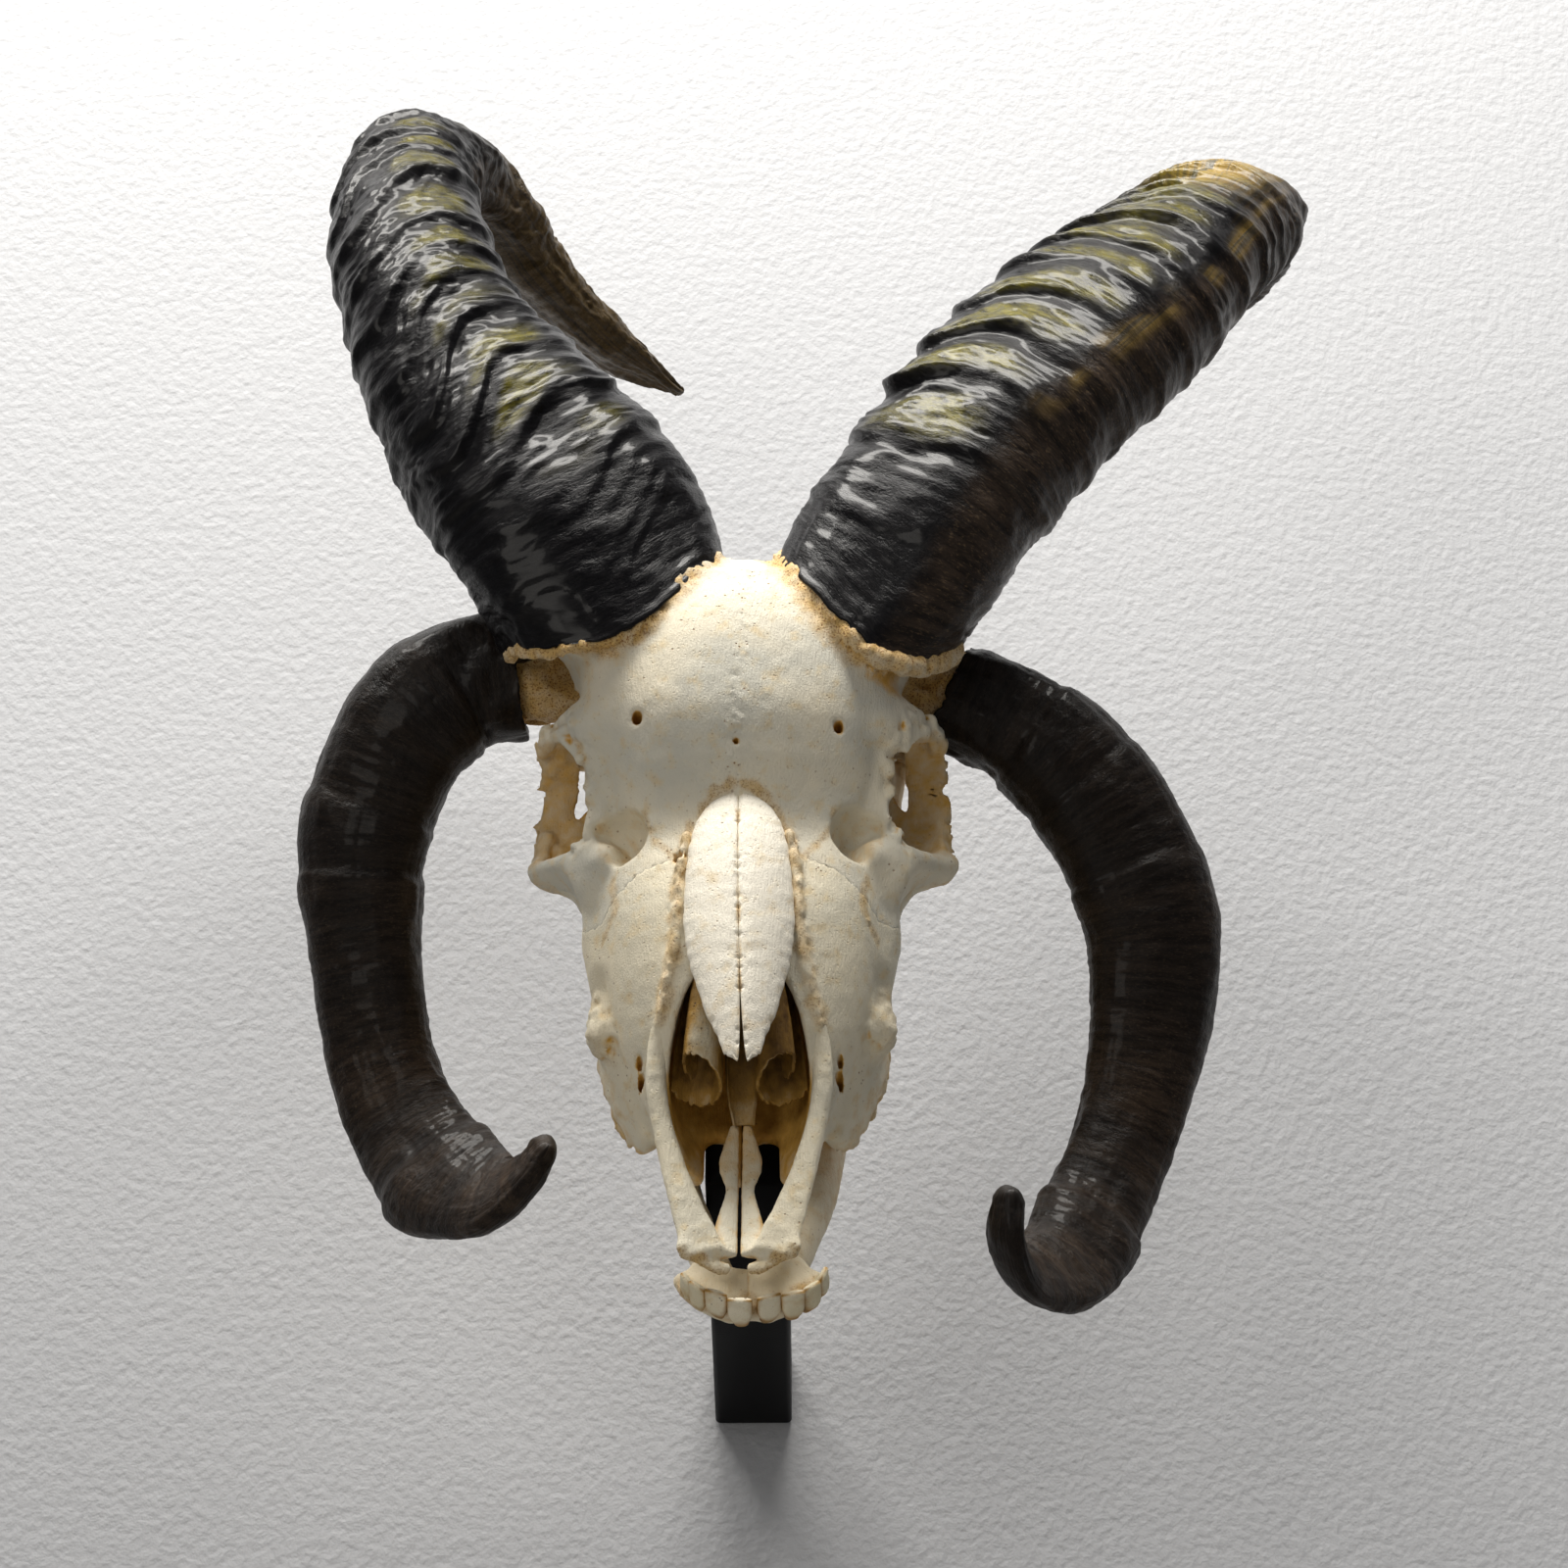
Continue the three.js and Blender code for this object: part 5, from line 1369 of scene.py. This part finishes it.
def strip_piece(name, spine, front, profile, thick, broken, tone, node_name):
    """A strip closed at both ends along its own width, with its colour masks by side and length."""
    points = strip_along(spine, front, 0.6, profile, thick, broken)
    rows, columns = points.shape[:2]
    quads, _ = grid_faces(rows, columns)
    one = np.arange(columns // 2 - 1)
    other = columns - 1 - one
    start = np.stack([one, other, other - 1, one + 1], axis=-1)
    finish = start[:, ::-1] + (rows - 1) * columns
    flat = points.reshape(-1, 3)
    flat = flat + 0.12 * np.stack([grain(flat, 2.0, seed) for seed in (161, 162, 163)], axis=-1)
    faces = np.concatenate([quads, start, finish])
    outwards = signed_volume(flat, faces)
    bone_piece(name, flat, faces if outwards > 0 else faces[:, ::-1], thin_bone,
               node_name, tone(points).reshape(-1, 3))


thin_bone = bone_material("thin_unbleached_bone_and_painted_shade", "#eae2ca", "#cfc8b2", "#d3b779", "#a98036", "#573a10",
                          "#b99a5a", "#3a2208")
scroll_turn = np.radians(np.linspace(SCROLL[0, 0], SCROLL[-1, 0], 130))
scroll_reach = np.interp(scroll_turn, np.radians(SCROLL[:, 0]), SCROLL[:, 1])
scroll_end = np.interp(scroll_turn, np.radians(SCROLL[:, 0]), SCROLL[:, 2])
scroll_end = scroll_end + 0.7 * grain(scroll_turn[:, None] * (7, 0, 0), 1.0, 164) + 0.7


def scroll_tone(points):
    """Pale and spongy on the outer front, amber to brown inside and at the back, partly as painted shade."""
    turn = np.degrees(np.concatenate([scroll_turn, scroll_turn[::-1]]))[None] + 0 * points[..., 0]
    outer = (np.arange(points.shape[1]) < points.shape[1] // 2)[None] + 0 * points[..., 0]
    front = hump(75, 75, turn) * outer
    spongy = ease(0.1, 0.7, front) * ease(-98, -74, points[..., 2])
    amber = 0.85 - 0.75 * front * ease(-62, -80, points[..., 2]) - 0.25 * hump(-93, 7, points[..., 2])
    return tones(np.clip(amber, 0, 1), 0.25 * spongy, np.clip(1.4 * spongy * hump(110, 70, turn), 0, 1))


for side, hand in ((1, "left"), (-1, "right")):
    spine = [(side * x, *rest) for x, *rest in CONCHA]
    profile = np.stack([-side * scroll_reach * np.cos(scroll_turn),
                        scroll_reach * np.sin(scroll_turn)], axis=-1)
    strip_piece("concha_" + hand + "_scroll", spine, (0, -1, 0), profile, 1.1, scroll_end, scroll_tone,
                "concha_" + hand)

VOMER = [(0.3, 10, -50, 3, 8), (0.4, 14, -72, 4.4, 4), (0.5, 19, -88, 4.3, 2.8), (0.9, 23, -98, 2.9, 2)]
trough = np.radians(np.linspace(-15, 195, 60))


def trough_tone(points):
    """Amber that deepens towards the back of the nose."""
    return tones(0.45 + 0.5 * ease(-95, -78, points[..., 2]), 0.2, 0.2)


strip_piece("vomer_trough", VOMER, (0, -1, 0), np.stack([np.cos(trough), -np.sin(trough)], axis=-1), 1.1,
            np.zeros(len(trough)), trough_tone, "vomer")

# ---------------------------------------------------------------- mandibles
# The two halves of the lower jaw, knit at the chin. The same bleached bone, a little pinker and
# smoother, with a nerve hole behind the incisors and spongy sockets round their roots.

JAW_BODY = [
    (5, 25, -155, 5, 4.5), (9, 30, -147, 6.5, 5.5), (16, 44, -125, 7.5, 5.2), (21, 60, -105, 9.5, 5),
    (23.5, 77.5, -79, 13, 5.5), (26, 92.5, -53, 17, 5.5), (29, 101, -32, 19, 5.2), (32, 106, -20, 15, 4.5),
]
JAW_RAMUS = [
    (34, 118, -20, 9, 3.5), (34.5, 114, -17, 14, 4), (35, 107.5, -14.5, 21, 4.2), (37, 88, -4, 21, 3.6),
    (41, 71, 13.5, 18, 3.2), (43.5, 60, 27, 12, 3.2), (46, 55, 35, 5, 3.5),
]
CORONOID = [(42, 60, 20, 9, 2.4), (43, 43, 30, 6.5, 2.0), (42, 29, 42, 3, 1.6)]
CONDYLE = [(38, 54.5, 39, 3, 3.5), (47, 54.5, 39.5, 4, 4), (55, 55, 39, 3, 3.2)]
CHIN = [(0.5, 19, -157.5, 3.8, 5.2), (8.5, 19.5, -156.3, 4.2, 5.2), (15.5, 21, -152.3, 4, 4.6),
        (19.5, 23, -148, 2.8, 3)]
CHIN_BED = [(0.5, 20, -150, 4, 6), (7, 21, -149, 4.6, 6), (13, 24, -144.5, 4.2, 4.6)]
NERVE_HOLE = [(19, 12, -138, 1.5, 1.6), (14, 22, -136, 1.5, 1.6)]
SOCKET_LINE = [(1, 14.5, -160), (8, 14.5, -159), (15, 16, -156), (21.5, 18.5, -151)]

jaw = Bone((-1.8, 6, -172), (68, 138, 52), 1.0)
jaw.add(limb(JAW_BODY, (1, 0, 0)), 3)
jaw.add(limb(JAW_RAMUS, (1, 0, 0)), 6)
jaw.add(limb(CORONOID, (1, 0, 0)), 5)
jaw.add(limb(CONDYLE, (0, -1, 0)), 3)
jaw.add(limb(CHIN, (0, -1, 0)), 4)
jaw.add(limb(CHIN_BED, (0, -1, 0)), 4)
jaw.carve(slab(0, -99, -0.3), 0.3)
jaw.carve(limb(NERVE_HOLE, (0, 0, 1)), 1)
jaw.roughen(3.0, 0.15, 75)
jaw.jag(SOCKET_LINE, 6, (1.8, 2.5, 1.8), 0.9, 171)
jaw_points, jaw_quads, jaw_normals = jaw.surface()
# Painted shade with the bone's own amber: amber where the jaw is closed in and further back.
jaw_tone = tones(
    0.7 * ease(0.15, 0.8, jaw.shelter(jaw_points, jaw_normals)) + 0.25 * ease(30, 70, jaw_points[:, 1]),
    0.6 * near_line(jaw_points, SOCKET_LINE, 5, 172), 0.25)
jaw_bone = bone_material("bleached_jaw_bone", "#f4e6c8", "#e8dabc", "#e2ca94", "#cda055", "#7c561a",
                         "#c99f58", "#8a5722")
for hand, points, quads in both_halves(jaw_points, jaw_quads):
    bone_piece("mandible_" + hand + "_bone", points + (JAW_SHIFT, 0, 0), quads, jaw_bone,
               "mandible_" + hand, jaw_tone)

# ---------------------------------------------------------------- incisors
# Eight chisel teeth in a fan. Each is a spatula of ivory enamel with a straight worn edge, and
# tartar fills the gaps between them, yellow-brown towards the gum.

INCISORS = [  # middle of the edge x, y, z, half width there, and how far it turns outwards in degrees
    (4.3, 7.5, -159.2, 3.7, 10), (11.4, 8.5, -157.2, 3.5, 16), (16.9, 10.6, -154.2, 3.1, 38),
    (20.2, 13.4, -150.2, 2.8, 58),
]
INCISOR_LENGTH = 12.5
ROOT_HALF_WIDTH = 2.4
INCISOR_LEAN = 2.0  # the fan's middle lies this far towards the ram's left of the jaw's


def incisor(x, y, z, wide, turned):
    """Superellipse rings from the root, which is narrow and thick, to the wide thin edge."""
    out = np.radians(turned)
    towards = np.array([math.sin(out) * 0.35, -1.0, 0.06])
    towards /= np.linalg.norm(towards)
    side = np.array([math.cos(out), 0.0, math.sin(out)])
    side -= towards * (side @ towards)
    side /= np.linalg.norm(side)
    up = np.cross(side, towards)
    t = np.linspace(0, 1, 46)[:, None]
    v = np.linspace(0, 2 * np.pi, 48, endpoint=False)
    reach = (np.abs(np.cos(v)) ** 3 + np.abs(np.sin(v)) ** 3) ** (-1 / 3)
    half_wide = ROOT_HALF_WIDTH + (wide - ROOT_HALF_WIDTH) * ease(0.05, 0.6, t)
    half_thick = 3.0 - 2.0 * ease(0.3, 1.0, t)
    bulge = 1.1 * np.sin(np.pi * t)
    end = np.array([x, y, z]) + towards * 0.2
    centre = end - towards * INCISOR_LENGTH * (1 - t) + up * bulge
    ring = (side * (half_wide * np.cos(v) * reach)[..., None]
            + up * (half_thick * np.sin(v) * reach)[..., None])
    points = centre[:, None] + ring
    points = points + 0.1 * grain(points, 1.6, 181)[..., None] * up
    quads, fans = grid_faces(*points.shape[:2])
    enamel = np.broadcast_to(t, points.shape[:2])
    tone = tones(0.6 * (1 - ease(0.15, 0.6, enamel)) + 0.7 * np.abs(np.cos(v)) ** 5,
                 0.4 * (1 - ease(0.1, 0.45, enamel)), 0.2)
    tone = np.vstack([tone.reshape(-1, 3), (0.5, 0.3, 0.2), (0.2, 0.1, 0.2)])
    return np.vstack([points.reshape(-1, 3), centre[[0, -1]]]), quads, fans, tone


for side, hand in ((1, "left"), (-1, "right")):
    for i, row in enumerate(INCISORS):
        wobble = np.sin(4.1 * i + 1.7 * side)
        tooth_points, quads, fans, tone = incisor(*row[:4], row[4] + 7 * wobble)
        tooth_points = tooth_points * (side, 1, 1) + (JAW_SHIFT + INCISOR_LEAN, 0.5 * wobble, 0.7 * wobble)
        outwards = signed_volume(tooth_points, quads)
        turn = 1 if outwards > 0 else -1
        bone_piece(f"incisor_{hand}_{i + 1}", tooth_points, quads[:, ::turn], tooth_enamel,
                   "mandible_" + hand, tone, fans[:, ::turn])
